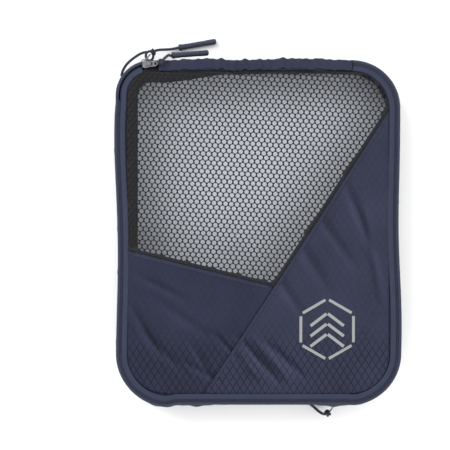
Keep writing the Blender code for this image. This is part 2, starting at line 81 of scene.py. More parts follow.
class Graph:
    """A short way to write a node tree."""

    def __init__(self, name: str) -> None:
        """Starts a material with an empty tree.

        Args:
            name: the material's name.
        """
        self.material = bpy.data.materials.new(name)
        self.material.use_nodes = True
        self.tree = self.material.node_tree
        self.tree.nodes.clear()
        self.shader = self.add("ShaderNodeBsdfPrincipled")
        output = self.add("ShaderNodeOutputMaterial")
        self.tree.links.new(self.shader.outputs["BSDF"], output.inputs["Surface"])

    def add(self, kind: str, **settings: object) -> bpy.types.Node:
        """Adds a node and sets its plain properties.

        Args:
            kind: the node's type name.
            settings: property values.

        Returns:
            The node.
        """
        node = self.tree.nodes.new(kind)
        for key, value in settings.items():
            setattr(node, key, value)
        return node

    def join(self, target: bpy.types.NodeSocket, source: object) -> None:
        """Feeds a socket from another socket, or sets it to a number or colour."""
        if isinstance(source, bpy.types.NodeSocket):
            self.tree.links.new(source, target)
        else:
            target.default_value = source

    def math(self, operation: str, *terms: object) -> bpy.types.NodeSocket:
        """A Math node of up to three terms.

        Args:
            operation: Blender's name of the operation.
            terms: sockets or numbers.

        Returns:
            The result's socket.
        """
        node = self.add("ShaderNodeMath", operation=operation)
        for socket, term in zip(node.inputs, terms):
            self.join(socket, term)
        return node.outputs[0]

    def place(self, source: str, scale: Triple, turn: float = 0.0) -> bpy.types.NodeSocket:
        """Coordinates from the UV map or the object, scaled and turned about Z.

        Args:
            source: UV or Object.
            scale: repeats per metre along each axis.
            turn: angle in radians.

        Returns:
            The vector's socket.
        """
        coordinates = self.add("ShaderNodeTexCoord")
        mapping = self.add("ShaderNodeMapping")
        self.join(mapping.inputs["Vector"], coordinates.outputs[source])
        mapping.inputs["Scale"].default_value = scale
        mapping.inputs["Rotation"].default_value = (0.0, 0.0, turn)
        return mapping.outputs["Vector"]

    def noise(self, vector: bpy.types.NodeSocket, scale: float, detail: float = 3.0) -> bpy.types.NodeSocket:
        """Noise between 0 and 1 at a scale."""
        node = self.add("ShaderNodeTexNoise")
        self.join(node.inputs["Vector"], vector)
        node.inputs["Scale"].default_value = scale
        node.inputs["Detail"].default_value = detail
        return node.outputs["Fac"]

    def stripes(self, vector: bpy.types.NodeSocket, axis: str, width: float) -> bpy.types.NodeSocket:
        """Soft lines one unit apart: 1 on a line and 0 between, as a share of the unit.

        Args:
            vector: coordinates in units of the pitch.
            axis: X or Y.
            width: share of the pitch that a line takes.

        Returns:
            The mask's socket.
        """
        split = self.add("ShaderNodeSeparateXYZ")
        self.join(split.inputs[0], vector)
        wave = self.math("ABSOLUTE", self.math("SUBTRACT", self.math("FRACT", split.outputs[axis]), 0.5))
        ramp = self.add("ShaderNodeMapRange", interpolation_type="SMOOTHSTEP")
        self.join(ramp.inputs["Value"], wave)
        ramp.inputs["From Min"].default_value = 0.5 - width
        ramp.inputs["From Max"].default_value = 0.5 - width / 3
        return ramp.outputs["Result"]

    def wave(self, vector: bpy.types.NodeSocket, axis: str) -> bpy.types.NodeSocket:
        """A sine between 0 and 1 along one axis, one period a unit."""
        split = self.add("ShaderNodeSeparateXYZ")
        self.join(split.inputs[0], vector)
        angle = self.math("MULTIPLY", split.outputs[axis], 2 * math.pi)
        return self.math("MULTIPLY_ADD", self.math("SINE", angle), 0.5, 0.5)

    def tint(self, colour: Sequence[float], other: Sequence[float], share: bpy.types.NodeSocket) -> None:
        """Colours the shader between two colours by a mask."""
        mix = self.add("ShaderNodeMix", data_type="RGBA")
        mix.inputs["A"].default_value = (*colour, 1.0)
        mix.inputs["B"].default_value = (*other, 1.0)
        self.join(mix.inputs["Factor"], share)
        self.join(self.shader.inputs["Base Color"], mix.outputs["Result"])

    def bump(self, height: bpy.types.NodeSocket, distance: float, strength: float = 1.0) -> None:
        """Feeds the shader's normal from a height, chained on any earlier bump."""
        node = self.add("ShaderNodeBump")
        node.inputs["Distance"].default_value = distance
        node.inputs["Strength"].default_value = strength
        self.join(node.inputs["Height"], height)
        earlier = self.shader.inputs["Normal"].links
        if earlier:
            self.join(node.inputs["Normal"], earlier[0].from_socket)
        self.join(self.shader.inputs["Normal"], node.outputs["Normal"])

    def roughen(self, low: float, high: float, share: bpy.types.NodeSocket) -> None:
        """Roughness between two values by a mask."""
        self.join(self.shader.inputs["Roughness"], self.math("MULTIPLY_ADD", share, high - low, low))


@dataclass(frozen=True)
class Ripstop:
    """Plain woven nylon with a raised diamond grid, with light and shade of its folds painted into its
    colour.
    """

    name: str = "navy_ripstop"
    colour: tuple[float, float, float] = (0.003, 0.004, 0.013)
    # The lighter colour: random speckle and drift move the cloth toward it, and so does the painted highlight
    # on folds that rise toward the upper right.
    light_tone: tuple[float, float, float] = (0.040, 0.044, 0.083)
    pitch: float = 4.4 * MM
    thread: float = 0.55 * MM
    sheen: float = 0.03

    def build(self) -> bpy.types.Material:
        """Returns the material: threads, diamond grid, slow colour drift, painted light and shade across the
        folds, and a soft sheen.
        """
        graph = Graph(self.name)
        grid = graph.place("UV", (1 / self.pitch, 0.62 / self.pitch, 1.0), math.radians(45.0))
        lines = graph.math("MAXIMUM", graph.stripes(grid, "X", 0.11), graph.stripes(grid, "Y", 0.11))
        threads = graph.place("UV", (1 / self.thread, 1 / self.thread, 1.0))
        weave = graph.math("MULTIPLY", graph.wave(threads, "X"), graph.wave(threads, "Y"))
        drift = graph.noise(graph.place("Object", (1.0, 1.0, 1.0)), 22.0, 4.0)
        speck = graph.noise(graph.place("Object", (1.0, 1.0, 1.0)), 900.0, 2.0)
        # Fold slope from the panel: painted light on slopes rising toward the upper right, painted shade on
        # slopes falling away from it.
        slope = graph.add("ShaderNodeAttribute", attribute_name="fold_light_and_shade").outputs["Fac"]
        strong = graph.add("ShaderNodeAttribute", attribute_name="grid").outputs["Fac"]
        shown = graph.math("MULTIPLY_ADD", strong, -0.30, -0.06)
        # Speckle and drift are random tone and the grid lines are a pattern; the slope term paints light and
        # shade into the colour.
        share = graph.math("MULTIPLY_ADD", speck, 0.40, graph.math("MULTIPLY", drift, 0.45))
        share = graph.math("MULTIPLY_ADD", slope, 0.55, graph.math("MULTIPLY_ADD", lines, shown, share))
        graph.tint(self.colour, self.light_tone, graph.math("MAXIMUM", share, 0.0))
        graph.roughen(0.50, 0.68, drift)
        graph.bump(weave, 0.00008, 0.6)
        graph.bump(lines, 0.00010, 0.8)
        graph.shader.inputs["Sheen Weight"].default_value = self.sheen
        graph.shader.inputs["Sheen Roughness"].default_value = 0.4
        graph.shader.inputs["Specular IOR Level"].default_value = 0.15
        return graph.material


@dataclass(frozen=True)
class Tape:
    """Woven polyester tape with a herringbone of fine ribs."""

    name: str = "navy_tape"
    colour: tuple[float, float, float] = (0.016, 0.020, 0.042)
    light_tone: tuple[float, float, float] = (0.040, 0.047, 0.084)
    rib: float = 0.9 * MM

    def build(self) -> bpy.types.Material:
        """Returns the material: slanted ribs crossing lengthwise threads."""
        graph = Graph(self.name)
        slant = graph.place("UV", (1 / self.rib, 1 / self.rib, 1.0), math.radians(35.0))
        other = graph.place("UV", (1 / self.rib, 1 / self.rib, 1.0), math.radians(-35.0))
        twill = graph.math("MULTIPLY", graph.wave(slant, "X"), graph.wave(other, "X"))
        drift = graph.noise(graph.place("Object", (1.0, 1.0, 1.0)), 60.0, 4.0)
        share = graph.math("MULTIPLY_ADD", twill, 0.6, graph.math("MULTIPLY", drift, 0.4))
        graph.tint(self.colour, self.light_tone, share)
        graph.roughen(0.62, 0.8, drift)
        graph.bump(twill, 0.00014, 0.8)
        graph.shader.inputs["Sheen Weight"].default_value = 0.04
        graph.shader.inputs["Specular IOR Level"].default_value = 0.2
        return graph.material


@dataclass(frozen=True)
class Plastic:
    """Nylon or rubber with a fine moulded grain."""

    name: str
    colour: tuple[float, float, float]
    light_tone: tuple[float, float, float]
    rough: tuple[float, float]
    grain: float = 700.0

    def build(self) -> bpy.types.Material:
        """Returns the material: a speckled grain and a slow change of gloss."""
        graph = Graph(self.name)
        spot = graph.place("Object", (1.0, 1.0, 1.0))
        speck = graph.noise(spot, self.grain, 3.0)
        graph.tint(self.colour, self.light_tone, speck)
        graph.roughen(*self.rough, graph.noise(spot, 90.0, 3.0))
        graph.bump(speck, 0.00005, 0.5)
        graph.shader.inputs["Specular IOR Level"].default_value = 0.3
        return graph.material


@dataclass(frozen=True)
class Metal:
    """Die-cast zinc, plated dark, rubbed brighter in patches."""

    name: str = "slider_metal"

    def build(self) -> bpy.types.Material:
        """Returns the material: uneven plating, brushed roughness and a fine grain."""
        graph = Graph(self.name)
        spot = graph.place("Object", (1.0, 1.0, 1.0))
        wear = graph.noise(spot, 500.0, 4.0)
        graph.tint((0.10, 0.10, 0.11), (0.40, 0.40, 0.41), wear)
        graph.roughen(0.22, 0.45, graph.noise(spot, 240.0, 4.0))
        graph.bump(graph.noise(spot, 1500.0, 2.0), 0.00003, 0.4)
        graph.shader.inputs["Metallic"].default_value = 1.0
        return graph.material


@dataclass(frozen=True)
class Braid:
    """Braided polyester cord: two families of strands wound both ways."""

    name: str = "navy_cord"
    colour: tuple[float, float, float] = (0.006, 0.008, 0.016)
    light_tone: tuple[float, float, float] = (0.026, 0.030, 0.052)
    plait: float = 1.5 * MM
    strands: float = 4.0

    def build(self) -> bpy.types.Material:
        """Returns the material: u runs along the cord in metres and v once round it."""
        graph = Graph(self.name)
        split = graph.add("ShaderNodeSeparateXYZ")
        graph.join(split.inputs[0], graph.place("UV", (1 / self.plait, self.strands, 1.0)))
        ways = []
        for sign in (1.0, -1.0):
            phase = graph.math("MULTIPLY_ADD", split.outputs["Y"], sign, split.outputs["X"])
            ways.append(graph.math("SINE", graph.math("MULTIPLY", phase, 2 * math.pi)))
        plait = graph.math("MULTIPLY_ADD", graph.math("MULTIPLY", *ways), 0.5, 0.5)
        graph.tint(self.colour, self.light_tone, plait)
        graph.shader.inputs["Roughness"].default_value = 0.7
        graph.bump(plait, 0.00025, 0.9)
        return graph.material


# A darker copy of the same ripstop, for the corner panel.
DARKER_RIPSTOP = Ripstop("navy_ripstop_darker", (0.002, 0.003, 0.011), (0.030, 0.034, 0.068))
LINING = Ripstop("pale_lining", (0.52, 0.54, 0.59), (0.66, 0.68, 0.73), sheen=0.02)
COIL = Plastic("navy_coil", (0.009, 0.011, 0.024), (0.034, 0.040, 0.070), (0.35, 0.55))
NET = Plastic("black_mesh", (0.004, 0.004, 0.006), (0.010, 0.010, 0.013), (0.65, 0.85))
RUBBER = Plastic("grip_rubber", (0.020, 0.024, 0.044), (0.032, 0.037, 0.062), (0.5, 0.7))
THREAD = Plastic("sewing_thread", (0.020, 0.024, 0.046), (0.040, 0.045, 0.078), (0.5, 0.7))
PRINT_FILM = Plastic("print_film", (0.20, 0.205, 0.205), (0.27, 0.275, 0.275), (0.4, 0.55), 1400.0)


@dataclass(frozen=True)
class Finishes:
    """Every material of the case, built once."""

    ripstop: bpy.types.Material = field(default_factory=Ripstop().build)
    corner: bpy.types.Material = field(default_factory=DARKER_RIPSTOP.build)
    lining: bpy.types.Material = field(default_factory=LINING.build)
    tape: bpy.types.Material = field(default_factory=Tape().build)
    coil: bpy.types.Material = field(default_factory=COIL.build)
    net: bpy.types.Material = field(default_factory=NET.build)
    metal: bpy.types.Material = field(default_factory=Metal().build)
    cord: bpy.types.Material = field(default_factory=Braid().build)
    rubber: bpy.types.Material = field(default_factory=RUBBER.build)
    thread: bpy.types.Material = field(default_factory=THREAD.build)
    print_film: bpy.types.Material = field(default_factory=PRINT_FILM.build)


# ---------------------------------------------------------------- surfaces


def build_mesh(
    name: str, points: Array, faces: Sequence[Array], uvs: Sequence[Array] | None = None
) -> bpy.types.Object:
    """Puts arrays of points and faces into one smooth-shaded object at the origin.

    Args:
        name: the piece's name.
        points: (n, 3) places in metres.
        faces: arrays of (m, k) vertex numbers, each with its own k.
        uvs: for each array of faces, its (m, k, 2) places in the UV map.

    Returns:
        The object, linked to the scene.
    """
    mesh = bpy.data.meshes.new(name)
    counts = np.concatenate([np.full(len(f), f.shape[1]) for f in faces])
    loops = np.concatenate([f.reshape(-1) for f in faces])
    mesh.vertices.add(len(points))
    mesh.vertices.foreach_set("co", np.ascontiguousarray(points, np.float32).reshape(-1))
    mesh.loops.add(len(loops))
    mesh.loops.foreach_set("vertex_index", loops.astype(np.int32))
    mesh.polygons.add(len(counts))
    starts = np.concatenate([[0], np.cumsum(counts)[:-1]])
    mesh.polygons.foreach_set("loop_start", starts.astype(np.int32))
    mesh.update(calc_edges=True)
    if uvs is not None:
        layer = mesh.uv_layers.new(name="UVMap")
        flat = np.concatenate([u.reshape(-1, 2) for u in uvs])
        layer.data.foreach_set("uv", flat.astype(np.float32).reshape(-1))
    mesh.validate()
    mesh.shade_smooth()
    obj = bpy.data.objects.new(name, mesh)
    bpy.context.scene.collection.objects.link(obj)
    return obj


def grid_faces(
    rows: int, cols: int, wrap_rows: bool, wrap_cols: bool, u: Array, v: Array
) -> tuple[Array, Array]:
    """Quads of a grid of points and their UV places.

    Args:
        rows: number of rows of points.
        cols: number of points in a row.
        wrap_rows: whether the last row joins the first.
        wrap_cols: whether each row closes on itself.
        u: place of each row, one longer where rows wrap.
        v: place of each column, one longer where columns wrap.

    Returns:
        (m, 4) vertex numbers and (m, 4, 2) UV places.
    """
    r = np.arange(rows if wrap_rows else rows - 1)[:, None]
    c = np.arange(cols if wrap_cols else cols - 1)[None, :]
    r, c = np.broadcast_arrays(r, c)
    around = ((r, c), (r, c + 1), (r + 1, c + 1), (r + 1, c))
    quads = np.stack([(a % rows) * cols + b % cols for a, b in around], -1).reshape(-1, 4)
    places = np.stack([np.stack([u[a], v[b]], -1) for a, b in around], -2).reshape(-1, 4, 2)
    return quads, places


def tube_skin(name: str, rings: Array, u: Array, v: Array, closed: bool) -> bpy.types.Object:
    """A skin over rings of points, round on itself or capped at both ends.

    Args:
        name: the piece's name.
        rings: (rows, cols, 3) points; each row is a closed ring.
        u: place of each row along the skin, one longer where it is closed.
        v: place of each point round a ring, one longer than the ring.
        closed: whether the last ring joins the first.

    Returns:
        The object, its faces pointing out.
    """
    rows, cols = rings.shape[:2]
    quads, places = grid_faces(rows, cols, closed, True, u, v)
    faces, uvs = [quads], [places]
    if not closed:
        ends = np.stack([np.arange(cols)[::-1], (rows - 1) * cols + np.arange(cols)])
        faces.append(ends)
        uvs.append(np.zeros((2, cols, 2)))
    points = rings.reshape(-1, 3)
    a, b, c, d = (points[quads[:, k]] for k in range(4))
    volume = np.einsum("ij,ij->i", np.cross(c - a, d - b), (a + b + c + d) / 4).sum()
    if volume < 0:
        faces = [f[:, ::-1] for f in faces]
        uvs = [w[:, ::-1] for w in uvs]
    return build_mesh(name, points, faces, uvs)


def waves(x: Array, lengths: Sequence[float], seed: int) -> Array:
    """A smooth uneven wave: sines of given wavelengths with seeded phases, added and evened out."""
    phases = np.random.default_rng(seed).uniform(0.0, 2 * math.pi, len(lengths))
    return sum(np.sin(2 * math.pi * x / w + p) for w, p in zip(lengths, phases)) / math.sqrt(len(lengths))


@dataclass(frozen=True)
class Outline:
    """The case's rounded outline, walked anticlockwise from the left end of the hinge side."""

    half_width: float
    half_length: float
    radii: tuple[float, float, float, float] = (31.0 * MM, 45.0 * MM, 44.0 * MM, 42.0 * MM)

    def table(self) -> dict[str, Array]:
        """Eight stretches, arc and straight in turn: starts, centres or first points, radii and angles."""
        w, h = self.half_width, self.half_length
        signs = ((-1, 1), (-1, -1), (1, -1), (1, 1))
        centres = [np.array([sx * (w - r), sy * (h - r)]) for (sx, sy), r in zip(signs, self.radii)]
        lengths, origins, radii, angles = [], [], [], []
        for k, (centre, radius) in enumerate(zip(centres, self.radii)):
            angle = math.pi / 2 * (k + 2)
            following, other = centres[(k + 1) % 4], self.radii[(k + 1) % 4]
            normal = np.array([math.cos(angle), math.sin(angle)])
            start = centre + radius * normal
            lengths += [radius * math.pi / 2, float(np.linalg.norm(following + other * normal - start))]
            origins += [centre, start]
            radii += [radius, 0.0]
            angles += [angle - math.pi / 2, angle]
        starts = np.concatenate([[0.0], np.cumsum(lengths)])
        return {"s": starts, "o": np.array(origins), "r": np.array(radii), "a": np.array(angles)}

    @property
    def length(self) -> float:
        """The whole way round."""
        return float(self.table()["s"][-1])

    def at(self, s: Array) -> tuple[Array, Array]:
        """Places and outward normals at lengths along the outline.

        Args:
            s: lengths in metres; they may run past either end.

        Returns:
            (n, 2) points and (n, 2) unit normals.
        """
        t = self.table()
        s = np.mod(s, t["s"][-1])
        k = np.clip(np.searchsorted(t["s"], s, side="right") - 1, 0, 7)
        local, radius = s - t["s"][k], t["r"][k]
        arc = radius > 0
        angle = t["a"][k] + np.where(arc, local / np.where(arc, radius, 1.0), 0.0)
        normal = np.stack([np.cos(angle), np.sin(angle)], -1)
        tangent = np.stack([-normal[:, 1], normal[:, 0]], -1)
        point = t["o"][k] + np.where(arc, radius, 0.0)[:, None] * normal
        return point + np.where(arc, 0.0, local)[:, None] * tangent, normal

    def inside(self, x: Array, y: Array, inset: float) -> Array:
        """How far points lie inside the outline at an inset; negative outside it."""
        radii = np.array(self.radii)
        corner = np.where(x < 0, np.where(y > 0, radii[0], radii[1]), np.where(y > 0, radii[3], radii[2]))
        qx = np.abs(x) - (self.half_width - corner)
        qy = np.abs(y) - (self.half_length - corner)
        reach = np.hypot(np.maximum(qx, 0.0), np.maximum(qy, 0.0)) + np.minimum(np.maximum(qx, qy), 0.0)
        return corner - reach - inset


WALL_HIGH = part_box("upper_side_wall")[1]
OUTLINE = Outline(half_width=WALL_HIGH[0], half_length=WALL_HIGH[1])


# Stretches of the outline that the sliders run along, where the chains keep to the plain outline.
MAIN_RUN, CORNER_RUN, BOTTOM_RUN = (-8.0 * MM, 53.0 * MM), (-2.0 * MM, 44.0 * MM), (355.0 * MM, 501.0 * MM)
TRAVELS = (MAIN_RUN, CORNER_RUN, BOTTOM_RUN)


@dataclass(frozen=True)
class Sway:
    """Slow bulges of the filled case's outline: (length along it, spread, amount outward)."""

    bumps: tuple[tuple[float, float, float], ...] = (
        (88.0, 40.0, 1.3),
        (190.0, 60.0, -1.9),
        (352.0, 32.0, 2.2),
        (424.0, 34.0, -0.5),
        (490.0, 22.0, 1.8),
        (602.0, 42.0, 1.3),
        (690.0, 50.0, -1.5),
        (905.0, 34.0, 1.7),
        (984.0, 20.0, 1.5),
    )

    def at(self, s: Array) -> Array:
        """The outward shift at lengths along the outline, the sum of bell-shaped bulges."""
        total = np.zeros_like(s)
        whole = OUTLINE.length
        for centre, spread, amount in self.bumps:
            away = np.mod(s - centre * MM + whole / 2, whole) - whole / 2
            total += amount * MM * np.exp(-((away / (spread * MM)) ** 2))
        for start, end in TRAVELS:
            middle, half = (start + end) / 2, (end - start) / 2
            away = np.abs(np.mod(s - middle + whole / 2, whole) - whole / 2) - half
            total *= np.clip(away / (14 * MM), 0.0, 1.0) ** 2 * (3 - 2 * np.clip(away / (14 * MM), 0.0, 1.0))
        return total


SWAY = Sway()


def rounded_section(line: Sequence[tuple[float, float]], thickness: float, cuts: int = 3) -> Array:
    """A closed thin section round a line of (inset, height) points.

    The line is divided by a smooth cubic through its points, moved half the thickness to each side along
    its normal, and closed by a rounded end.

    Args:
        line: points in millimetres.
        thickness: in millimetres.
        cuts: points added between two given ones.

    Returns:
        (k, 2) points in metres.
    """
    given = np.array(line, float)
    reach = np.concatenate([[0.0], np.cumsum(np.linalg.norm(np.diff(given, axis=0), axis=1))])
    slopes = np.gradient(given, reach, axis=0)
    t = np.linspace(0.0, len(given) - 1, (len(given) - 1) * (cuts + 1) + 1)
    k = np.minimum(t.astype(int), len(given) - 2)
    f = (t - k)[:, None]
    span = (reach[k + 1] - reach[k])[:, None]
    fine = (2 * f**3 - 3 * f**2 + 1) * given[k] + (3 * f**2 - 2 * f**3) * given[k + 1]
    fine = fine + span * ((f**3 - 2 * f**2 + f) * slopes[k] + (f**3 - f**2) * slopes[k + 1])
    ahead = np.gradient(fine, axis=0)
    ahead /= np.linalg.norm(ahead, axis=1, keepdims=True)
    normal = np.stack([-ahead[:, 1], ahead[:, 0]], -1) * thickness / 2
    first, last = fine[:1] - ahead[:1] * thickness / 2, fine[-1:] + ahead[-1:] * thickness / 2
    return np.concatenate([first, fine + normal, last, (fine - normal)[::-1]]) * MM


Ripple = Callable[[Array, Array], Array]


def band(
    name: str,
    section: Array,
    start: float | None = None,
    end: float | None = None,
    sway: float = 1.0,
    ripple: Ripple | None = None,
    spacing: float = 1.6 * MM,
) -> bpy.types.Object:
    """A thin section carried along the outline: a whole ring unless a start and an end are given.

    Each point is the outline's point moved in by its inset, out by the slow sway, and out along the
    normal by the ripple at that length and height.

    Args:
        name: the piece's name.
        section: (k, 2) closed points of inset and height.
        start: length along the outline where the band starts.
        end: length where it ends.
        sway: share of the outline's slow bulges that the band follows.
        ripple: outward shift from (length, height).
        spacing: step along the outline.

    Returns:
        The object.
    """
    closed = start is None
    first, last = (0.0, OUTLINE.length) if closed else (start, end)
    count = max(8, round((last - first) / spacing))
    edges = np.linspace(first, last, count + 1)
    s = edges[:-1] if closed else edges
    point, normal = OUTLINE.at(s)
    out = sway * SWAY.at(s)[:, None] - section[None, :, 0]
    height = np.broadcast_to(section[None, :, 1], out.shape)
    if ripple is not None:
        out = out + ripple(np.broadcast_to(s[:, None], out.shape), height)
    rings = np.concatenate([point[:, None, :] + out[..., None] * normal[:, None, :], height[..., None]], -1)
    steps = np.linalg.norm(np.diff(np.concatenate([section, section[:1]]), axis=0), axis=1)
    return tube_skin(name, rings, edges, np.concatenate([[0.0], np.cumsum(steps)]), closed)


def repeat_shape(
    name: str, template: Array, faces: Sequence[Array], places: Array, axes: Array
) -> bpy.types.Object:
    """Many copies of a small shape in one mesh.

    Args:
        name: the piece's name.
        template: (t, 3) points in a copy's own axes.
        faces: the shape's faces.
        places: (n, 3) origins.
        axes: (n, 3, 3) rows are each copy's own X, Y and Z.

    Returns:
        The object.
    """
    points = np.einsum("tk,nkj->ntj", template, axes) + places[:, None, :]
    offsets = np.arange(len(places))[:, None, None] * len(template)
    copies = [(f[None] + offsets).reshape(-1, f.shape[1]) for f in faces]
    return build_mesh(name, points.reshape(-1, 3), copies, [np.zeros((*f.shape, 2)) for f in copies])


def capsule(length: float, width: float, height: float, sides: int = 6) -> tuple[Array, list[Array]]:
    """A short bar with tapered ends along Y: rings of an ellipse, small at both ends.

    Args:
        length: along Y.
        width: along X.
        height: along Z.
        sides: points in a ring.

    Returns:
        (points, faces).
    """
    along = np.array([-0.5, -0.36, 0.36, 0.5]) * length
    scale = np.array([0.45, 1.0, 1.0, 0.45])
    angle = np.arange(sides) * 2 * math.pi / sides
    ring = np.stack([np.cos(angle) * width / 2, np.zeros(sides), np.sin(angle) * height / 2], -1)
    points = ring[None] * scale[:, None, None] + np.array([0.0, 1.0, 0.0]) * along[:, None, None]
    quads, _ = grid_faces(4, sides, False, True, np.zeros(4), np.zeros(sides + 1))
    ends = np.stack([np.arange(sides)[::-1], 3 * sides + np.arange(sides)])
    return points.reshape(-1, 3), [quads[:, ::-1], ends[:, ::-1]]


def tube(
    name: str, path: Array, radius: Array | float, sides: int = 12, closed: bool = False
) -> bpy.types.Object:
    """A round tube along a path of points, its rings kept from twisting.

    Args:
        name: the piece's name.
        path: (n, 3) centres of the rings.
        radius: one, or one for each ring.
        sides: points in a ring.
        closed: whether the path closes on itself.

    Returns:
        The object, with u along its length and v once round it.
    """
    if closed:
        ahead = np.roll(path, -1, axis=0) - np.roll(path, 1, axis=0)
    else:
        ahead = np.gradient(path, axis=0)
    ahead /= np.linalg.norm(ahead, axis=1, keepdims=True)
    guide = np.array([0.13, 0.21, 0.97])
    side = np.cross(ahead, guide)
    side /= np.linalg.norm(side, axis=1, keepdims=True)
    up = np.cross(side, ahead)
    angle = np.arange(sides) * 2 * math.pi / sides
    reach = np.broadcast_to(np.asarray(radius, float), (len(path),))[:, None, None]
    turned = np.cos(angle)[None, :, None] * side[:, None, :] + np.sin(angle)[None, :, None] * up[:, None, :]
    steps = np.linalg.norm(np.diff(path, axis=0), axis=1)
    u = np.concatenate([[0.0], np.cumsum(steps)])
    if closed:
        u = np.append(u, u[-1] + np.linalg.norm(path[0] - path[-1]))
    return tube_skin(name, path[:, None, :] + reach * turned, u, np.linspace(0.0, 1.0, sides + 1), closed)


def join(name: str, parts: Sequence[bpy.types.Object]) -> bpy.types.Object:
    """Puts several plain meshes into one piece.

    Args:
        name: the piece's name.
        parts: objects at the origin; they are removed.

    Returns:
        The joined object.
    """
    points, faces, uvs, base = [], [], [], 0
    for part in parts:
        mesh = part.data
        co = np.empty(len(mesh.vertices) * 3, np.float32)
        mesh.vertices.foreach_get("co", co)
        uv = np.zeros(len(mesh.loops) * 2, np.float32)
        if mesh.uv_layers:
            mesh.uv_layers[0].data.foreach_get("uv", uv)
        index = np.empty(len(mesh.loops), np.int32)
        mesh.loops.foreach_get("vertex_index", index)
        total = np.empty(len(mesh.polygons), np.int32)
        mesh.polygons.foreach_get("loop_total", total)
        start = np.concatenate([[0], np.cumsum(total)[:-1]])
        for size in np.unique(total):
            loops = start[total == size][:, None] + np.arange(size)
            faces.append(index[loops] + base)
            uvs.append(uv.reshape(-1, 2)[loops])
        points.append(co.reshape(-1, 3))
        base += len(mesh.vertices)
        bpy.data.objects.remove(part, do_unlink=True)
    return build_mesh(name, np.concatenate(points), faces, uvs)


def dress(
    obj: bpy.types.Object, material: bpy.types.Material, slot: str, body: Body, *nodes: str
) -> bpy.types.Object:
    """Gives a piece its finish and its body, and hides the CAD nodes that it stands for.

    Args:
        obj: the piece.
        material: its finish.
        slot: not used.
        body: what it rides on.
        nodes: CAD nodes that it replaces.

    Returns:
        The piece.
    """
    obj.data.materials.clear()
    obj.data.materials.append(material)
    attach(obj, body.value)
    if nodes:
        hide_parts(*nodes)
    LOG.info("%s: %d faces on %s", obj.name, len(obj.data.polygons), body.value)
    return obj


def blended(
    obj: bpy.types.Object,
    material: bpy.types.Material,
    slot: str,
    bodies: tuple[Body, Body],
    start: Vector,
    end: Vector,
    node: str,
) -> bpy.types.Object:
    """Gives cloth that crosses a joint its finish, bakes its placement into its points and hides the CAD node
    that it stands for.
    """
    obj.data.materials.clear()
    obj.data.materials.append(material)
    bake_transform(obj)
    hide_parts(node)
    first, second = (body.value for body in bodies)
    LOG.info("%s: %d faces between %s and %s", obj.name, len(obj.data.polygons), first, second)
    return obj


# ---------------------------------------------------------------- the lid's cloth


@dataclass(frozen=True)
class Line:
    """A straight seam seen from above; its positive side is to the left of start to end."""

    start: tuple[float, float]
    end: tuple[float, float]

    def distance(self, x: Array, y: Array) -> Array:
        """How far points stand to the line's left, in metres."""
        dx, dy = self.end[0] - self.start[0], self.end[1] - self.start[1]
        return (dx * (y - self.start[1]) - dy * (x - self.start[0])) / math.hypot(dx, dy)

    def points(self, count: int, shift: float = 0.0) -> Array:
        """Points along the line, moved to its left by a shift."""
        a, b = np.array(self.start), np.array(self.end)
        left = np.array([a[1] - b[1], b[0] - a[0]]) / np.linalg.norm(b - a)
        return a + np.linspace(0.0, 1.0, count)[:, None] * (b - a) + shift * left


LONG_SEAM = Line((-0.0463, -0.1385), (0.1117, 0.1025))
SHORT_SEAM = Line((-0.1134, -0.0158), (0.0154, -0.0471))
Region = Callable[[Array, Array], Array]


@dataclass(frozen=True)
class Dome:
    """The filled lid's height: a low dome with soft folds, falling into the seam all round."""

    rim: float = 37.9 * MM
    rise: float = 12.0 * MM
    folds: tuple[tuple[float, float, float, float, float, float], ...] = (
        (-38, -88, -10, -116, 2.4, 1.3),
        (-30, -94, 2, -128, 2.6, -1.0),
        (-18, -90, 18, -131, 2.6, 1.4),
        (-4, -92, 28, -130, 2.8, -1.0),
        (8, -96, 40, -126, 3.0, 1.2),
        (-66, -112, -34, -130, 3.0, 0.9),
        (-58, -96, -40, -128, 3.0, 0.8),
        (56, -116, 100, -74, 4.0, 0.9),
        (74, 46, 102, -20, 4.0, 1.1),
        (92, 20, 108, -60, 3.6, -0.8),
        (24, 8, 62, -52, 5.0, 0.9),
        (36, 36, 84, -30, 4.0, 0.8),
        (10, -30, 40, -74, 4.0, 0.8),
        (-104, -38, -64, -58, 3.2, 0.9),
        (-110, -66, -86, -108, 3.2, 1.0),
        (-90, -58, -40, -92, 4.4, 0.8),
        (-100, -88, -62, -124, 3.4, 0.8),
    )

    def ridges(self, x: Array, y: Array) -> Array:
        """The height of the folds alone: bell-shaped ridges and hollows along segments."""
        z = np.zeros_like(x)
        for x0, y0, x1, y1, spread, amount in self.folds:
            a, b = np.array([x0, y0]) * MM, np.array([x1, y1]) * MM
            along = ((x - a[0]) * (b - a)[0] + (y - a[1]) * (b - a)[1]) / ((b - a) ** 2).sum()
            held = np.clip(along, 0.0, 1.0)
            away = np.hypot(x - a[0] - held * (b - a)[0], y - a[1] - held * (b - a)[1])
            faded = 0.35 + 0.65 * np.sin(math.pi * held)
            z = z + amount * MM * np.exp(-((away / (spread * MM)) ** 2)) * faded
        return z

    def at(self, x: Array, y: Array) -> Array:
        """The height of the cloth's middle surface.

        A paraboloid in x and y, plus each fold's bell-shaped ridge across a segment that fades at its
        ends, plus slow waves; near the outline it drops by up to 1.6 mm into the seam.
        """
        z = self.rim + self.rise * np.clip(1 - (x / 0.1151) ** 2, 0, 1) * np.clip(1 - (y / 0.1412) ** 2, 0, 1)
        slow = waves(x + 0.4 * y, (0.041, 0.067, 0.019), 3) * waves(y - 0.3 * x, (0.052, 0.031), 4)
        z = z + self.ridges(x, y) + 0.22 * MM * slow
        edge = OUTLINE.inside(x, y, 9.0 * MM)
        return z - 1.6 * MM * np.exp(-np.clip(edge, 0, None) / (1.5 * MM))


DOME = Dome()


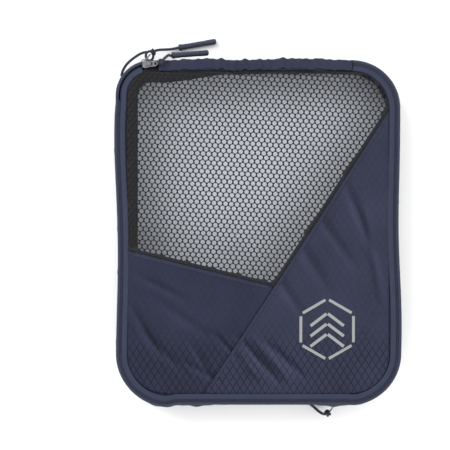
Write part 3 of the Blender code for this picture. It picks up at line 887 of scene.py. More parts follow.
def fold_light_and_shade(x: Array, y: Array) -> Array:
    """How steeply the folds rise toward the upper right, from about -1 to 1: painted into the cloth's colour
    as light on rising slopes and shade on falling ones.
    """
    return (DOME.ridges(x + MM, y + MM) - DOME.ridges(x - MM, y - MM)) / (1.3 * MM)


def right_region(x: Array, y: Array) -> Array:
    """Distance inside the right panel: within the outline and right of the long seam."""
    return np.minimum(OUTLINE.inside(x, y, 9.0 * MM), -LONG_SEAM.distance(x, y) - 0.15 * MM)


def corner_region(x: Array, y: Array) -> Array:
    """Distance inside the corner panel: below the short seam and left of the long one."""
    below = np.minimum(-SHORT_SEAM.distance(x, y), LONG_SEAM.distance(x, y)) - 0.15 * MM
    return np.minimum(OUTLINE.inside(x, y, 9.0 * MM), below)


def window_region(x: Array, y: Array) -> Array:
    """Distance inside the window: above the short seam and left of the long one."""
    above = np.minimum(SHORT_SEAM.distance(x, y), LONG_SEAM.distance(x, y)) - 0.15 * MM
    return np.minimum(OUTLINE.inside(x, y, 9.0 * MM), above)


# The grid that a panel is cut from reaches a little past the case on every side.
GRID_HALF_WIDTH, GRID_HALF_LENGTH = 128.0 * MM, 154.0 * MM

# Below this line across the case the weave's checks grow stronger, over the second length.
CHECKS_START, CHECKS_FADE = -80.0 * MM, 25.0 * MM


def inward(x: Array, y: Array, region: Region) -> Array:
    """Unit directions in which the distance inside a region grows fastest, by central differences.

    Args:
        x: where, across the case.
        y: where, along the case.
        region: distance inside the region.

    Returns:
        (n, 2) directions.
    """
    step = 0.02 * MM
    across, along = region(x + step, y) - region(x - step, y), region(x, y + step) - region(x, y - step)
    slope = np.stack([across, along], -1)
    return slope / np.maximum(np.linalg.norm(slope, axis=1, keepdims=True), 1e-9)


def pull_in(xy: Array, region: Region, within: float = 0.0) -> Array:
    """Moves points that lie outside a region onto its edge, up the slope of its distance.

    Args:
        xy: (n, 2) points.
        region: distance inside.
        within: how far inside the points must end.

    Returns:
        (n, 2) points.
    """
    for _ in range(6):
        x, y = xy[:, 0], xy[:, 1]
        short = np.minimum(region(x, y) - within, 0.0)
        slope = inward(x, y, region)
        xy = xy - short[:, None] * slope
    return xy


def cloth_panel(
    name: str, region: Region, height: Region, thickness: float, spacing: float = 1.5 * MM
) -> bpy.types.Object:
    """Cloth over a region: a grid of squares whose outermost points are pulled onto the region's edge.

    Args:
        name: the piece's name.
        region: distance inside the region.
        height: height from x and y.
        thickness: of the cloth, added by a Solidify modifier to both sides.
        spacing: of the grid.

    Returns:
        The object.
    """
    xs = np.arange(-GRID_HALF_WIDTH, GRID_HALF_WIDTH, spacing)
    ys = np.arange(-GRID_HALF_LENGTH, GRID_HALF_LENGTH, spacing)
    gx, gy = np.meshgrid(xs, ys)
    quads, _ = grid_faces(len(ys), len(xs), False, False, ys, xs)
    inside = region(gx.ravel(), gy.ravel()) > -0.2 * spacing
    quads = quads[inside[quads].all(axis=1)]
    used, quads = np.unique(quads, return_inverse=True)
    quads = quads.reshape(-1, 4)
    xy = np.stack([gx.ravel()[used], gy.ravel()[used]], -1)
    near = np.zeros(len(used), bool)
    ends = np.sort(np.concatenate([quads[:, [k, (k + 1) % 4]] for k in range(4)]), axis=1)
    edges, counts = np.unique(ends, axis=0, return_counts=True)
    near[edges[counts == 1]] = True
    xy = pull_in(xy, region)
    rim = xy[near]
    for _ in range(4):
        x, y = rim[:, 0], rim[:, 1]
        far = np.clip(region(x, y), 0.0, 1.2 * spacing)
        rim = rim - far[:, None] * inward(x, y, region)
    xy[near] = rim
    points = np.concatenate([xy, height(xy[:, 0], xy[:, 1])[:, None]], axis=1)
    obj = build_mesh(name, points, [quads], [xy[quads]])
    # Panels on the dome carry the fold slope, which paints light and shade into the cloth's colour, and the
    # strength of the weave's checks.
    if height == DOME.at:
        strength = np.clip((CHECKS_START - xy[:, 1]) / CHECKS_FADE, 0.0, 1.0)
        for label, values in (("fold_light_and_shade", fold_light_and_shade(*xy.T)), ("grid", strength)):
            layer = obj.data.attributes.new(label, "FLOAT", "POINT")
            layer.data.foreach_set("value", values.astype(np.float32))
    thicken(obj, thickness)
    return obj


def declare_sheet(obj: bpy.types.Object) -> None:
    """Reads a nearly flat cloth's points and face areas from the built mesh.

    Nothing is done with them.

    Args:
        obj: the cloth, before its modifiers.
    """
    co = np.empty(len(obj.data.vertices) * 3, np.float32)
    obj.data.vertices.foreach_get("co", co)
    areas = np.empty(len(obj.data.polygons), np.float32)
    obj.data.polygons.foreach_get("area", areas)


def thicken(obj: bpy.types.Object, thickness: float) -> None:
    """Adds a Solidify modifier that thickens a surface equally to both sides."""
    solid = obj.modifiers.new("thickness", "SOLIDIFY")
    solid.thickness = thickness
    solid.offset = 0.0


def strip(
    name: str, line: Array, width: float, lift: float, thickness: float, height: Region
) -> bpy.types.Object:
    """A flat strip laid on a surface along a line seen from above.

    Args:
        name: the piece's name.
        line: (n, 2) points.
        width: across the line.
        lift: above the surface.
        thickness: of the strip.
        height: the surface's height from x and y.

    Returns:
        The object.
    """
    ahead = np.gradient(line, axis=0)
    ahead /= np.linalg.norm(ahead, axis=1, keepdims=True)
    side = np.stack([-ahead[:, 1], ahead[:, 0]], -1)
    across = np.linspace(-0.5, 0.5, 7) * width
    xy = line[:, None, :] + across[None, :, None] * side[:, None, :]
    z = height(xy[..., 0], xy[..., 1]) + lift
    reach = np.concatenate([[0.0], np.cumsum(np.linalg.norm(np.diff(line, axis=0), axis=1))])
    quads, places = grid_faces(len(line), 7, False, False, reach, across)
    points = np.concatenate([xy, z[..., None]], -1).reshape(-1, 3)
    obj = build_mesh(name, points, [quads], [places])
    thicken(obj, thickness)
    return obj


def stitches(name: str, line: Array, up: Array | None = None, pitch: float = 2.8 * MM) -> bpy.types.Object:
    """A row of short threads lying along a line in space.

    Args:
        name: the piece's name.
        line: (n, 3) closely spaced points.
        up: (n, 3) directions out of the cloth, or None for straight up.
        pitch: from one stitch to the next.

    Returns:
        The object.
    """
    reach = np.concatenate([[0.0], np.cumsum(np.linalg.norm(np.diff(line, axis=0), axis=1))])
    s = np.arange(pitch / 2, reach[-1], pitch)
    spot = np.stack([np.interp(s, reach, line[:, k]) for k in range(3)], -1)
    ahead = np.stack([np.interp(s + pitch / 3, reach, line[:, k]) for k in range(3)], -1) - np.stack(
        [np.interp(s - pitch / 3, reach, line[:, k]) for k in range(3)], -1
    )
    ahead /= np.linalg.norm(ahead, axis=1, keepdims=True)
    out = np.array([[0.0, 0.0, 1.0]]).repeat(len(s), 0)
    if up is not None:
        out = np.stack([np.interp(s, reach, up[:, k]) for k in range(3)], -1)
    side = np.cross(ahead, out)
    side /= np.linalg.norm(side, axis=1, keepdims=True)
    points, faces = capsule(0.72 * pitch, 0.42 * MM, 0.34 * MM, 5)
    return repeat_shape(name, points, faces, spot, np.stack([side, ahead, np.cross(side, ahead)], 1))


def ring_line(inset: float, z: float, start: float, end: float) -> tuple[Array, Array]:
    """Points along the swaying outline at an inset and height, and their outward directions."""
    s = np.linspace(start, end, max(40, round(abs(end - start) / (1.0 * MM))))
    point, normal = OUTLINE.at(s)
    xy = point + (SWAY.at(s) - inset)[:, None] * normal
    outward = np.concatenate([normal, np.zeros((len(s), 1))], 1)
    return np.concatenate([xy, np.full((len(s), 1), z)], 1), outward


def teeth(
    name: str,
    inset: float,
    z: float,
    reach: float,
    start: float,
    end: float,
    upright: bool,
    shift: float,
    short: Sequence[tuple[float, float]] = (),
) -> bpy.types.Object:
    """One half of a nylon zip: bars across the chain at an even pitch along the outline.

    Args:
        name: the piece's name.
        inset: of the bars' middle.
        z: height of the bars' middle.
        reach: length of a bar.
        start: where the row starts along the outline.
        end: where it ends.
        upright: whether the bars stand up, on a wall, and not lie flat.
        shift: share of the pitch by which the row is moved.
        short: (start, end) stretches that sliders run along, where the bars stay clear of the slider's post.

    Returns:
        The object.
    """
    pitch = 1.5 * MM
    s = np.arange(start + shift * pitch, end, pitch)
    point, normal = OUTLINE.at(s)
    xy = point + (SWAY.at(s) - inset)[:, None] * normal
    place = np.concatenate([xy, np.full((len(s), 1), z)], 1)
    tangent = np.stack([-normal[:, 1], normal[:, 0], np.zeros(len(s))], -1)
    outward = np.concatenate([normal, np.zeros((len(s), 1))], 1)
    vertical = np.array([[0.0, 0.0, 1.0]]).repeat(len(s), 0)
    rows = (tangent, vertical, outward) if upright else (tangent, outward, vertical)
    axes = np.stack(rows, 1)
    gap = np.zeros(len(s), bool)
    for first, last in short:
        gap |= (s > first) & (s < last)
    points, faces = capsule(reach, 1.0 * MM, 1.15 * MM)
    parts = [repeat_shape(name + "_long", points, faces, place[~gap], axes[~gap])]
    if gap.any():
        small, small_faces = capsule(1.1 * MM, 1.0 * MM, 1.15 * MM)
        middle = inset + math.copysign(0.4 * MM, inset - 3.8 * MM) if z > 30 * MM else inset
        level = z if z > 30 * MM else (14.9 * MM if z < 16 * MM else 17.1 * MM)
        xy = point[gap] + (SWAY.at(s[gap]) - middle)[:, None] * normal[gap]
        spot = np.concatenate([xy, np.full((gap.sum(), 1), level)], 1)
        parts.append(repeat_shape(name + "_short", small, small_faces, spot, axes[gap]))
    return join(name, parts)


SIDE_END = 855.5 * MM


# ---------------------------------------------------------------- sub-assemblies


@dataclass
class Base:
    """The back panel, the lower wall and the compression zip's lower half."""

    finishes: Finishes
    cloth: float = 0.7 * MM
    spacing: float = 2.4 * MM

    def build(self) -> None:
        """Builds the pieces on the base body."""
        f = self.finishes

        def floor_height(x: Array, y: Array) -> Array:
            """The back panel's middle surface, nearly flat."""
            return 0.75 * MM + 0.10 * MM * waves(x + y, (0.06, 0.035), 8)

        def back_region(x: Array, y: Array) -> Array:
            """Distance inside the back panel."""
            return OUTLINE.inside(x, y, 6.3 * MM)

        def lining_region(x: Array, y: Array) -> Array:
            """Distance inside the lining."""
            return OUTLINE.inside(x, y, 8.2 * MM)

        def lining_height(x: Array, y: Array) -> Array:
            """The lining's middle surface, just above the back panel."""
            return floor_height(x, y) + 0.75 * MM

        panel = cloth_panel("back_cloth", back_region, floor_height, self.cloth, self.spacing)
        dress(panel, f.ripstop, "navy_ripstop", Body.BASE, "back_panel")
        declare_sheet(panel)
        lining = cloth_panel("back_lining", lining_region, lining_height, 0.3 * MM, self.spacing)
        dress(lining, f.lining, "navy_ripstop", Body.BASE)
        declare_sheet(lining)
        binding = band("back_binding", rounded_section([(5.3, 1.5), (6.1, 2.6), (6.9, 1.6)], 0.8), sway=0.3)
        dress(binding, f.tape, "navy_tape", Body.BASE, "back_seam_binding")

        def pucker(s: Array, z: Array) -> Array:
            """Soft puckers of the lower wall that fade toward its edges."""
            held = np.sin(np.clip((z / MM - 3) / 7.5, 0, 1) * math.pi)
            return 0.35 * MM * waves(s, (0.023, 0.041, 0.013), 5) * held

        wall = band(
            "lower_wall_cloth",
            rounded_section([(6.6, 3.0), (6.6, 5.0), (5.4, 7.6), (3.2, 9.6), (2.4, 10.5)], 0.8),
            ripple=pucker,
        )
        dress(wall, f.ripstop, "navy_ripstop", Body.BASE, "lower_side_wall")
        tape = band("compression_tape_lower", rounded_section([(1.8, 10.4), (1.7, 12.4), (1.8, 14.2)], 0.7))
        dress(tape, f.tape, "navy_tape", Body.BASE, "compression_lower_tape")
        at = (CORNER_RUN, BOTTOM_RUN)
        end = OUTLINE.length - MM
        row = teeth("compression_teeth_lower", 1.8 * MM, 15.2 * MM, 2.3 * MM, 0.0, end, True, 0.0, at)
        dress(row, f.coil, "navy_coil", Body.BASE, "compression_lower_coil")
        line, out = ring_line(1.35 * MM, 11.6 * MM, 0.0, OUTLINE.length)
        dress(stitches("lower_tape_stitches", line, out), f.thread, "navy_tape", Body.BASE)


@dataclass
class Upper:
    """The upper wall between the two zips, the expansion pleat and the hinge strip."""

    finishes: Finishes

    def build(self) -> None:
        """Builds the pieces on the upper body and the cloth that crosses its two joints."""
        f = self.finishes
        tape = band("compression_tape_upper", rounded_section([(1.8, 17.8), (1.7, 20.0), (1.8, 22.0)], 0.7))
        dress(tape, f.tape, "navy_tape", Body.UPPER, "compression_upper_tape")
        at = (CORNER_RUN, BOTTOM_RUN)
        end = OUTLINE.length - MM
        row = teeth("compression_teeth_upper", 1.8 * MM, 16.8 * MM, 2.3 * MM, 0.0, end, True, 0.5, at)
        dress(row, f.coil, "navy_coil", Body.UPPER, "compression_upper_coil")
        line, out = ring_line(1.35 * MM, 20.6 * MM, 0.0, OUTLINE.length)
        dress(stitches("upper_tape_stitches", line, out), f.thread, "navy_tape", Body.UPPER)

        def wall_ripple(s: Array, z: Array) -> Array:
            """Soft vertical puckers that fade toward both zips."""
            held = np.sin(np.clip((z / MM - 21.5) / 11.5, 0, 1) * math.pi)
            bulge = 1.9 * np.exp(-(((s - 0.362) / 0.030) ** 2)) + 2.6 * np.exp(-(((s - 0.490) / 0.011) ** 2))
            return held * (0.55 * MM * waves(s, (0.021, 0.034, 0.055, 0.012), 6) + (bulge - 0.2) * MM)

        section = rounded_section([(1.9, 21.4), (0.9, 24.0), (0.5, 27.0), (0.5, 30.0), (0.9, 33.6)], 0.8)
        wall = band("upper_wall_cloth", section, ripple=wall_ripple, spacing=1.3 * MM)
        dress(wall, f.ripstop, "navy_ripstop", Body.UPPER, "upper_side_wall")
        section = rounded_section([(0.6, 32.8), (0.5, 34.6), (0.7, 36.0), (1.4, 36.8), (2.3, 36.9)], 0.7)
        tape = band("main_tape_lower", section, -6.5 * MM, SIDE_END)
        dress(tape, f.tape, "navy_tape", Body.UPPER, "main_zip_lower_tape")
        at = (MAIN_RUN,)
        row = teeth("main_teeth_lower", 3.1 * MM, 36.75 * MM, 2.0 * MM, 9.0 * MM, SIDE_END, False, 0.0, at)
        start = teeth("main_teeth_start", 2.7 * MM, 36.75 * MM, 1.1 * MM, -6.0 * MM, 8.8 * MM, False, 0.0)
        dress(join("main_teeth_lower", [row, start]), f.coil, "navy_coil", Body.UPPER, "main_zip_lower_coil")

        fold = [(4.7, 11.0), (6.6, 12.6), (10.2, 15.2), (10.9, 16.0), (10.2, 16.8), (6.6, 19.4), (4.7, 21.2)]
        pleat = band(
            "expansion_pleat_cloth",
            rounded_section(fold, 0.6),
            ripple=lambda s, z: 0.2 * MM * waves(s, (0.017, 0.029), 7),
        )
        ends = Vector((0.0, 0.0, 0.0112)), Vector((0.0, 0.0, 0.021))
        blended(pleat, f.ripstop, "navy_ripstop", (Body.BASE, Body.UPPER), *ends, "expansion_gusset")

        def gather(s: Array, z: Array) -> Array:
            """Gathers of the hinge strip: close uneven waves that fade toward both of its ends."""
            held = np.sin(np.clip((s - 0.8558) / 0.1687, 0, 1) * math.pi) ** 0.4
            rising = np.clip((z / MM - 33.3) / 2.5, 0, 1)
            return held * (0.75 * MM * waves(s, (0.0105, 0.017, 0.0068, 0.031), 9) * rising)

        line = [(0.6, 33.4), (0.5, 35.4), (0.7, 37.0), (2.2, 38.1), (5.5, 38.4), (9.2, 38.4)]
        section = rounded_section(line, 0.7)
        hinge = band("hinge_strip_cloth", section, 855.8 * MM, 1024.5 * MM, ripple=gather, spacing=0.7 * MM)
        lift_points(hinge)
        ends = Vector((0.0, 0.1507, 0.037)), Vector((0.0, 0.1432, 0.037))
        blended(hinge, f.ripstop, "navy_ripstop", (Body.UPPER, Body.LID), *ends, "hinge_gusset")


def lift_points(obj: bpy.types.Object) -> None:
    """Raises and lowers the gathered strip's top by the same close waves as its edge, crosswise to it."""
    co = np.empty(len(obj.data.vertices) * 3, np.float32)
    obj.data.vertices.foreach_get("co", co)
    points = co.reshape(-1, 3).astype(float)
    x, y, z = points.T
    held = np.sin(math.pi * np.clip((x + 0.0864) / 0.1687, 0, 1)) ** 0.5
    top = np.clip((z - 0.0370) / (1.0 * MM), 0, 1) * held
    inner = np.clip((y - 0.1405) / (3 * MM), 0, 1)
    points[:, 2] += top * inner * 0.7 * MM * waves(x + 0.35 * (y - 0.146), (0.0105, 0.0072, 0.019, 0.033), 12)
    obj.data.vertices.foreach_set("co", points.astype(np.float32).reshape(-1))
    obj.data.update()


@dataclass
class Net:
    """Polyester net: rounded six-sided holes in staggered rows, solid along its edges."""

    pitch: float = 5.0 * MM
    row: float = 3.83 * MM
    hole: tuple[float, float] = (2.02 * MM, 2.12 * MM)
    tilt: float = math.radians(-4.0)
    margin: float = 2.0 * MM

    def build(self, region: Region, height: Region) -> bpy.types.Object:
        """Builds the net over a region.

        Each cell is the six-sided area nearest one lattice point. It has a rounded hole, or is solid within
        the margin of the region's edge. Outer points beyond the edge are pulled onto it.

        Args:
            region: distance inside the window.
            height: height from x and y.

        Returns:
            The object.
        """
        rows = np.arange(-48, 48)
        cols = np.arange(-40, 40)
        gr, gc = np.meshgrid(rows, cols, indexing="ij")
        cx = (gc + 0.5 * (gr % 2)).ravel() * self.pitch
        cy = gr.ravel() * self.row
        c, s = math.cos(self.tilt), math.sin(self.tilt)
        x, y = c * cx - s * cy, s * cx + c * cy
        inside = region(x, y)
        keep = inside > -1.2 * self.row / 2
        x, y, inside = x[keep], y[keep], inside[keep]
        p, q = self.pitch / 2, self.row
        tall = (q * q + p * p) / (2 * q)
        low = q - tall
        corner = np.array([[p, -low], [p, low], [0, tall], [-p, low], [-p, -low], [0, -tall]])
        outer = np.stack([corner, (corner + np.roll(corner, -1, axis=0)) / 2], 1).reshape(-1, 2)
        angle = np.arctan2(outer[:, 1], outer[:, 0])
        hole = np.stack([self.hole[0] * np.cos(angle), self.hole[1] * np.sin(angle)], -1)
        hole *= (1 + 0.03 * np.cos(6 * angle))[:, None]
        open_cell = inside > self.margin
        n_open, n_shut = int(open_cell.sum()), int((~open_cell).sum())
        turned = [ring @ np.array([[c, s], [-s, c]]) for ring in (outer, hole)]
        centres = np.stack([x, y], -1)
        open_xy = np.stack([centres[open_cell][:, None] + ring for ring in turned], 1)
        rise = np.array([0.16, -0.08]) * MM
        open_z = np.broadcast_to(rise[None, :, None], (n_open, 2, 12))
        shut_xy = centres[~open_cell][:, None] + turned[0]
        flat_xy = np.concatenate([open_xy.reshape(-1, 2), shut_xy.reshape(-1, 2)])
        flat_z = np.concatenate([open_z.reshape(-1), np.full(n_shut * 12, 0.16 * MM)])
        base = np.arange(n_open)[:, None] * 24
        k = np.arange(12)
        following = (k + 1) % 12
        ring_quads = np.stack([k, following, 12 + following, 12 + k], -1)
        quads = (base[:, :, None] + ring_quads[None]).reshape(-1, 4)
        shut = n_open * 24 + np.arange(n_shut)[:, None] * 12
        fill = np.array([[0, 1, 2, 3], [3, 4, 5, 0], [5, 6, 11, 0], [6, 7, 10, 11], [7, 8, 9, 10]])
        quads = np.concatenate([quads, (shut[:, :, None] + fill[None]).reshape(-1, 4)])
        flat_xy = pull_in(flat_xy, region)
        key = np.round(np.concatenate([flat_xy, flat_z[:, None]], 1) / (0.01 * MM)).astype(np.int64)
        _, first, index = np.unique(key, axis=0, return_index=True, return_inverse=True)
        quads = index.reshape(-1)[quads]
        distinct = np.sort(quads, axis=1)
        quads = quads[(np.diff(distinct, axis=1) > 0).all(axis=1)]
        xy, z = flat_xy[first], flat_z[first]
        points = np.concatenate([xy, (height(xy[:, 0], xy[:, 1]) + z)[:, None]], 1)
        obj = build_mesh("window_net", points, [quads], [xy[quads]])
        thicken(obj, 0.4 * MM)
        return obj


@dataclass
class Lid:
    """The zipped front: two cloth panels, the net window, their seams, the mark and the zip's upper half."""

    finishes: Finishes

    def build(self) -> None:
        """Builds the pieces on the lid body."""
        f = self.finishes
        start = 9.8 * MM
        section = rounded_section([(5.5, 36.9), (6.6, 37.3), (8.0, 37.8), (9.6, 37.9)], 0.7)
        tape = band("lid_tape", section, start, SIDE_END)
        dress(tape, f.tape, "navy_tape", Body.LID, "lid_zip_tape")
        first, z = start + MM, 36.75 * MM
        row = teeth("lid_teeth", 4.5 * MM, z, 2.0 * MM, first, SIDE_END, False, 0.5, (MAIN_RUN,))
        dress(row, f.coil, "navy_coil", Body.LID, "lid_zip_coil")
        binding = band("lid_binding", rounded_section([(8.6, 35.8), (9.7, 36.4), (10.8, 35.8)], 0.8))
        dress(binding, f.tape, "navy_tape", Body.LID, "lid_edge_binding")
        line, _ = ring_line(8.4 * MM, 38.25 * MM, start, SIDE_END)
        dress(stitches("lid_tape_stitches", line), f.thread, "navy_tape", Body.LID)

        right = cloth_panel("right_cloth", right_region, DOME.at, 0.6 * MM)
        dress(right, f.ripstop, "navy_ripstop", Body.LID, "lid_right_panel")
        declare_sheet(right)
        corner = cloth_panel("corner_cloth", corner_region, DOME.at, 0.6 * MM)
        dress(corner, f.corner, "navy_ripstop", Body.LID, "lid_corner_panel")
        declare_sheet(corner)
        net = Net().build(window_region, DOME.at)
        dress(net, f.net, "black_mesh", Body.LID, "lid_mesh_window")
        declare_sheet(net)

        def shade_margin_region(x: Array, y: Array) -> Array:
            """Distance inside a black net band beneath the window's edge, wide at the left and narrow at the
            right of the top; the band is painted shade under the net's edge.
            """
            along = np.clip((x + 0.085) / 0.070, 0.0, 1.0)
            width = (10.8 - 8.0 * along * along * (3 - 2 * along)) * MM
            away = OUTLINE.inside(x, y, 9.0 * MM)
            return np.minimum(np.minimum(window_region(x, y), away), width - away)

        # A black sheet under the net's left and top edge: painted shade, a dark sheet where the net lies over
        # shade.
        hem = cloth_panel("window_shade_margin", shade_margin_region, lambda x, y: DOME.at(x, y) - 0.75 * MM, 0.3 * MM)
        dress(hem, f.net, "black_mesh", Body.LID)
        self.seams()
        self.mark()

    def seams(self) -> None:
        """The seam tapes beneath, the folded hems on top and the stitches beside them."""
        f = self.finishes
        long_line, short_line = LONG_SEAM.points(160), SHORT_SEAM.points(90)
        inner_long = pull_in(long_line, whole_lid, 0.5 * MM)
        inner_short = pull_in(short_line, whole_lid, 0.5 * MM)
        tape = strip("long_seam_tape", inner_long, 6.0 * MM, -1.5 * MM, 0.5 * MM, DOME.at)
        dress(tape, f.tape, "navy_tape", Body.LID, "lid_long_seam_binding")
        tape = strip("short_seam_tape", inner_short[:-3], 6.0 * MM, -1.5 * MM, 0.5 * MM, DOME.at)
        dress(tape, f.tape, "navy_tape", Body.LID, "lid_short_seam_binding")
        line = LONG_SEAM.points(160, -1.7 * MM)[5:-5]
        hem = strip("long_seam_hem", line, 2.8 * MM, 0.42 * MM, 0.3 * MM, DOME.at)
        dress(hem, f.ripstop, "navy_ripstop", Body.LID)
        line = SHORT_SEAM.points(90, -1.9 * MM)[4:-4]
        hem = strip("short_seam_hem", line, 3.2 * MM, 0.42 * MM, 0.3 * MM, DOME.at)
        dress(hem, f.ripstop, "navy_ripstop", Body.LID)
        rows = []
        for line in (LONG_SEAM.points(220, -2.3 * MM)[6:-6], SHORT_SEAM.points(120, -2.6 * MM)[5:-5]):
            z = DOME.at(line[:, 0], line[:, 1]) + 0.62 * MM
            rows.append(stitches("seam_row", np.concatenate([line, z[:, None]], 1)))
        dress(join("seam_stitches", rows), f.thread, "navy_ripstop", Body.LID)

    def mark(self) -> None:
        """A plain printed mark: a ring of six straight bars round three nested chevrons."""
        centre, parts = np.array([0.060, -0.084]), []
        angles = np.radians(np.arange(30, 391, 60))
        corners = centre + 0.0265 * np.stack([np.cos(angles), np.sin(angles)], -1)
        share = np.linspace(0.07, 0.93, 14)[:, None]
        for number, (a, b) in enumerate(zip(corners[:-1], corners[1:])):
            parts.append(strip(f"bar_{number}", a + share * (b - a), 2.4 * MM, 0.36 * MM, 0.06 * MM, DOME.at))
        for number, rise in enumerate((-0.010, -0.001, 0.008)):
            for side in (-1.0, 1.0):
                a = centre + np.array([0.0, rise + 0.006])
                b = centre + np.array([side * 0.0145, rise - 0.005])
                line = a + np.linspace(0.04, 1.0, 14)[:, None] * (b - a)
                label = f"chevron_{number}_{side:.0f}"
                parts.append(strip(label, line, 2.6 * MM, 0.36 * MM, 0.06 * MM, DOME.at))
        for part in parts:
            part.modifiers.clear()
        printed = join("printed_mark", parts)
        dress(printed, self.finishes.print_film, "navy_ripstop", Body.LID)


def whole_lid(x: Array, y: Array) -> Array:
    """Distance inside the whole lid."""
    return OUTLINE.inside(x, y, 10.0 * MM)


# ---------------------------------------------------------------- pullers


def smooth_path(points: Sequence[Sequence[float]], step: float) -> Array:
    """A Catmull-Rom line through points, evenly spaced by arc length.

    Args:
        points: places in metres.
        step: wanted spacing.

    Returns:
        (n, 3) points.
    """
    p = np.array(points, float)
    p = np.concatenate([2 * p[:1] - p[1:2], p, 2 * p[-1:] - p[-2:-1]])
    k = np.repeat(np.arange(1, len(p) - 2), 12)
    t = np.tile(np.linspace(0, 1, 12, endpoint=False), len(p) - 3)[:, None]
    a, b, c, d = p[k - 1], p[k], p[k + 1], p[k + 2]
    line = 0.5 * (2 * b + (c - a) * t + (2 * a - 5 * b + 4 * c - d) * t**2 + (3 * b - a - 3 * c + d) * t**3)
    line = np.concatenate([line, p[-2:-1]])
    reach = np.concatenate([[0.0], np.cumsum(np.linalg.norm(np.diff(line, axis=0), axis=1))])
    s = np.linspace(0.0, reach[-1], max(8, round(reach[-1] / step)))
    return np.stack([np.interp(s, reach, line[:, n]) for n in range(3)], -1)


def path_length(path: Array) -> float:
    """The length of a line of points."""
    return float(np.linalg.norm(np.diff(path, axis=0), axis=1).sum())


@dataclass(frozen=True)
class Grip:
    """A moulded rubber grip: a stepped collar, a ribbed body and a rounded end."""

    length: float = 34.0 * MM
    body: float = 2.55 * MM
    collar: float = 2.9 * MM
    collar_length: float = 2.6 * MM
    ribs: int = 7

    def build(self, name: str, start: Array, toward: Array) -> bpy.types.Object:
        """A profile turned round an axis: radius from distance along it.

        Args:
            name: the piece's name.
            start: middle of the end by the cord.
            toward: direction of the other end.

        Returns:
            The object.
        """
        axis = toward / np.linalg.norm(toward)
        t = np.linspace(0.0, 1.0, 150) * self.length
        radius = np.full_like(t, self.body)
        radius = np.where(t < self.collar_length, self.collar, radius)
        ribbed = (t > 7 * MM) & (t < 25 * MM)
        turn = (t - 7 * MM) / (18 * MM) * 2 * math.pi * self.ribs
        radius = radius - np.where(ribbed, 0.26 * MM * (0.5 - 0.5 * np.cos(turn)), 0)
        end, start_round = self.length - t, t
        for away, bend in ((end, 2.0 * MM), (start_round, 0.8 * MM)):
            part = np.clip(1 - away / bend, 0.0, 1.0)
            radius = radius - bend * 0.85 * (1 - np.sqrt(np.clip(1 - part**2, 0.0, 1.0)))
        return tube(name, start + t[:, None] * axis, np.maximum(radius, 0.15 * MM), 28)


@dataclass
class Puller:
    """A cord through a pull tab's eye, knotted there, with a rubber grip on its far end."""

    name: str
    node: str
    route: tuple[tuple[float, float, float], ...]
    grip_end: tuple[float, float, float]
    body: Body
    knot: tuple[float, float, float]
    tail: tuple[tuple[float, float, float], ...] = ()
    diameter: float = 2.4 * MM
    hidden: float = 12.0 * MM

    def build(self, finishes: Finishes) -> None:
        grip_start = np.array(self.route[-1])
        toward = np.array(self.grip_end) - grip_start
        unit = toward / np.linalg.norm(toward)
        shape = Grip()
        grip = shape.build(f"{self.name}_grip", grip_start + 0.9 * MM * unit, toward)
        dress(grip, finishes.rubber, "grip_rubber", self.body, f"{self.node}_grip")
        inner = [tuple(grip_start + unit * d) for d in (self.hidden / 2, self.hidden)]
        path = smooth_path((*self.route, *inner), 0.6 * MM)
        line = tube(f"{self.name}_cord", path, self.diameter / 2, 14)
        dress(line, finishes.cord, "navy_cord", self.body, f"{self.node}_cord")
        knot = self.make_knot(path)
        dress(knot, finishes.cord, "navy_cord", self.body)
        if self.tail:
            path = smooth_path(self.tail, 0.6 * MM)
            tail = tube(f"{self.name}_tail", path, self.diameter / 2, 14)
            dress(tail, finishes.cord, "navy_cord", self.body, "corner_cord_tail")
            loop_turn = np.linspace(0.0, 2 * math.pi, 48, endpoint=False)
            round_eye = np.array(self.knot) + np.array([-2.9, -3.4, 0.0]) * MM
            wide, tall, lift = 3.3 * np.cos(loop_turn), 4.1 * np.sin(loop_turn), 0.7 * np.cos(2 * loop_turn)
            oval = np.stack([wide, tall, lift], -1) * MM
            loop = tube(f"{self.name}_loop", round_eye + oval, 1.1 * MM, 12, True)
            dress(loop, finishes.cord, "navy_cord", self.body)
            LOG.info("%s tail: %.1f mm long", self.name, path_length(path) / MM)

    def make_knot(self, path: Array) -> bpy.types.Object:
        """A knot beside the eye: a closed line that winds twice round a ring and three times through it."""
        centre = np.array(self.knot)
        ahead = path[min(6, len(path) - 1)] - path[0]
        ahead /= np.linalg.norm(ahead)
        side = np.cross(ahead, np.array([0.0, 0.0, 1.0]))
        side /= np.linalg.norm(side)
        up = np.cross(side, ahead)
        t = np.linspace(0.0, 2 * math.pi, 96, endpoint=False)
        wide = 1.8 * MM + 0.7 * MM * np.cos(3 * t)
        spots = wide[:, None] * (np.cos(2 * t)[:, None] * side + np.sin(2 * t)[:, None] * up)
        line = centre + spots + 1.1 * MM * np.sin(3 * t)[:, None] * ahead
        return tube(f"{self.name}_knot", line, 0.95 * MM, 10, True)


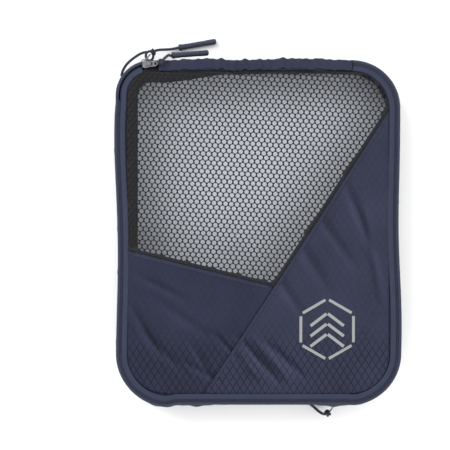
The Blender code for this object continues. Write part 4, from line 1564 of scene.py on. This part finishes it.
MAIN = Puller(
    "main",
    "main_pull",
    (
        (-0.08692, 0.14743, 0.0401),
        (-0.0853, 0.1479, 0.0414),
        (-0.0838, 0.1491, 0.0424),
        (-0.0822, 0.1508, 0.0424),
        (-0.0806, 0.1526, 0.0412),
        (-0.0792, 0.1540, 0.0390),
        (-0.0782, 0.1549, 0.0362),
        (-0.0774, 0.1551, 0.0333),
        (-0.0762, 0.1551, 0.0305),
    ),
    (-0.0446, 0.1585, 0.0197),
    Body.MAIN_PULLER,
    (-0.0846, 0.1484, 0.0419),
)
CORNER = Puller(
    "corner",
    "corner_pull",
    (
        (-0.0940, 0.1588, 0.0160),
        (-0.0914, 0.1604, 0.0158),
        (-0.0886, 0.1614, 0.0147),
        (-0.0861, 0.1620, 0.0122),
        (-0.0838, 0.1624, 0.0090),
        (-0.0812, 0.1628, 0.0060),
        (-0.0780, 0.1632, 0.0040),
        (-0.0745, 0.1638, 0.0032),
        (-0.0710, 0.1645, 0.0031),
    ),
    (-0.0375, 0.1702, 0.0031),
    Body.CORNER_PULLER,
    (-0.0926, 0.1596, 0.0160),
    (
        (-0.0972, 0.1596, 0.0160),
        (-0.1000, 0.1593, 0.0158),
        (-0.1034, 0.1583, 0.0150),
        (-0.1068, 0.1565, 0.0137),
        (-0.1101, 0.1544, 0.0121),
        (-0.1132, 0.1521, 0.0103),
        (-0.1160, 0.1496, 0.0084),
        (-0.1184, 0.1465, 0.0065),
        (-0.1202, 0.1430, 0.0048),
        (-0.1211, 0.1394, 0.0035),
    ),
)
BOTTOM = Puller(
    "bottom",
    "bottom_pull",
    (
        (0.0632, -0.1592, 0.0160),
        (0.0612, -0.1607, 0.0146),
        (0.0590, -0.1611, 0.0111),
        (0.0568, -0.1606, 0.0077),
        (0.0545, -0.1592, 0.0048),
        (0.0520, -0.1571, 0.0033),
        (0.0492, -0.1547, 0.0031),
        (0.0461, -0.1525, 0.0031),
        (0.0427, -0.1510, 0.0031),
        (0.0390, -0.1503, 0.0031),
    ),
    (0.0050, -0.1502, 0.0031),
    Body.BOTTOM_PULLER,
    (0.0621, -0.1600, 0.0153),
)


def finish_hardware(finishes: Finishes) -> None:
    """Puts the plated finish in the material slots of the sliders and pull tabs of the CAD frame."""
    for which in ("main", "corner", "bottom"):
        for node in (f"{which}_slider", f"{which}_pull_tab"):
            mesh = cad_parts[node].data
            mesh.materials.clear()
            mesh.materials.append(finishes.metal)
            LOG.info("%s keeps its CAD shape", node)


# ---------------------------------------------------------------- the studio


@dataclass
class Studio:
    """A pale floor, three soft lights and a camera straight above."""

    camera_at: tuple[float, float, float] = (-0.0288, 0.0066, 1.6)
    half_view: float = 0.19665
    subject_depth: float = 1.565

    def build(self) -> None:
        """Makes the floor, the lights, the world and the camera."""
        scene = bpy.context.scene
        mesh = bpy.data.meshes.new("floor")
        mesh.from_pydata([(-6, -6, 0), (6, -6, 0), (6, 6, 0), (-6, 6, 0)], [], [(0, 1, 2, 3)])
        floor = bpy.data.objects.new("floor", mesh)
        scene.collection.objects.link(floor)
        graph = Graph("floor_paper")
        grain = graph.noise(graph.place("Object", (1.0, 1.0, 1.0)), 8.0)
        graph.tint((0.90, 0.90, 0.90), (0.93, 0.93, 0.93), grain)
        graph.shader.inputs["Roughness"].default_value = 0.9
        mesh.materials.append(graph.material)
        for name, place, size, power in (
            ("key_light", (-1.1, 1.1, 1.3), 1.2, 30.0),
            ("fill_light", (1.2, 0.3, 1.4), 1.6, 14.0),
            ("front_light", (0.1, -1.3, 1.3), 1.6, 12.0),
        ):
            data = bpy.data.lights.new(name, "AREA")
            data.energy, data.size = power, size
            light = bpy.data.objects.new(name, data)
            light.location = place
            light.rotation_euler = (-Vector(place)).to_track_quat("-Z", "Y").to_euler()
            scene.collection.objects.link(light)
        world = bpy.data.worlds.new("studio")
        world.use_nodes = True
        background = world.node_tree.nodes["Background"]
        background.inputs["Color"].default_value = (1.0, 1.0, 1.0, 1.0)
        background.inputs["Strength"].default_value = 0.85
        scene.world = world
        scene.view_settings.view_transform = "Standard"
        data = bpy.data.cameras.new("camera")
        data.sensor_fit = "HORIZONTAL"
        data.angle = 2 * math.atan(self.half_view / self.subject_depth)
        camera = bpy.data.objects.new("camera", data)
        camera.location = self.camera_at
        scene.collection.objects.link(camera)
        scene.camera = camera


def main() -> None:
    """Builds the case from the back panel up, then the studio."""
    logging.basicConfig(level=logging.INFO, format="%(message)s")
    Studio().build()
    finishes = Finishes()
    for puller in (MAIN, CORNER, BOTTOM):
        puller.build(finishes)
    finish_hardware(finishes)
    Base(finishes).build()
    Upper(finishes).build()
    Lid(finishes).build()


if __name__ == "__main__":
    main()
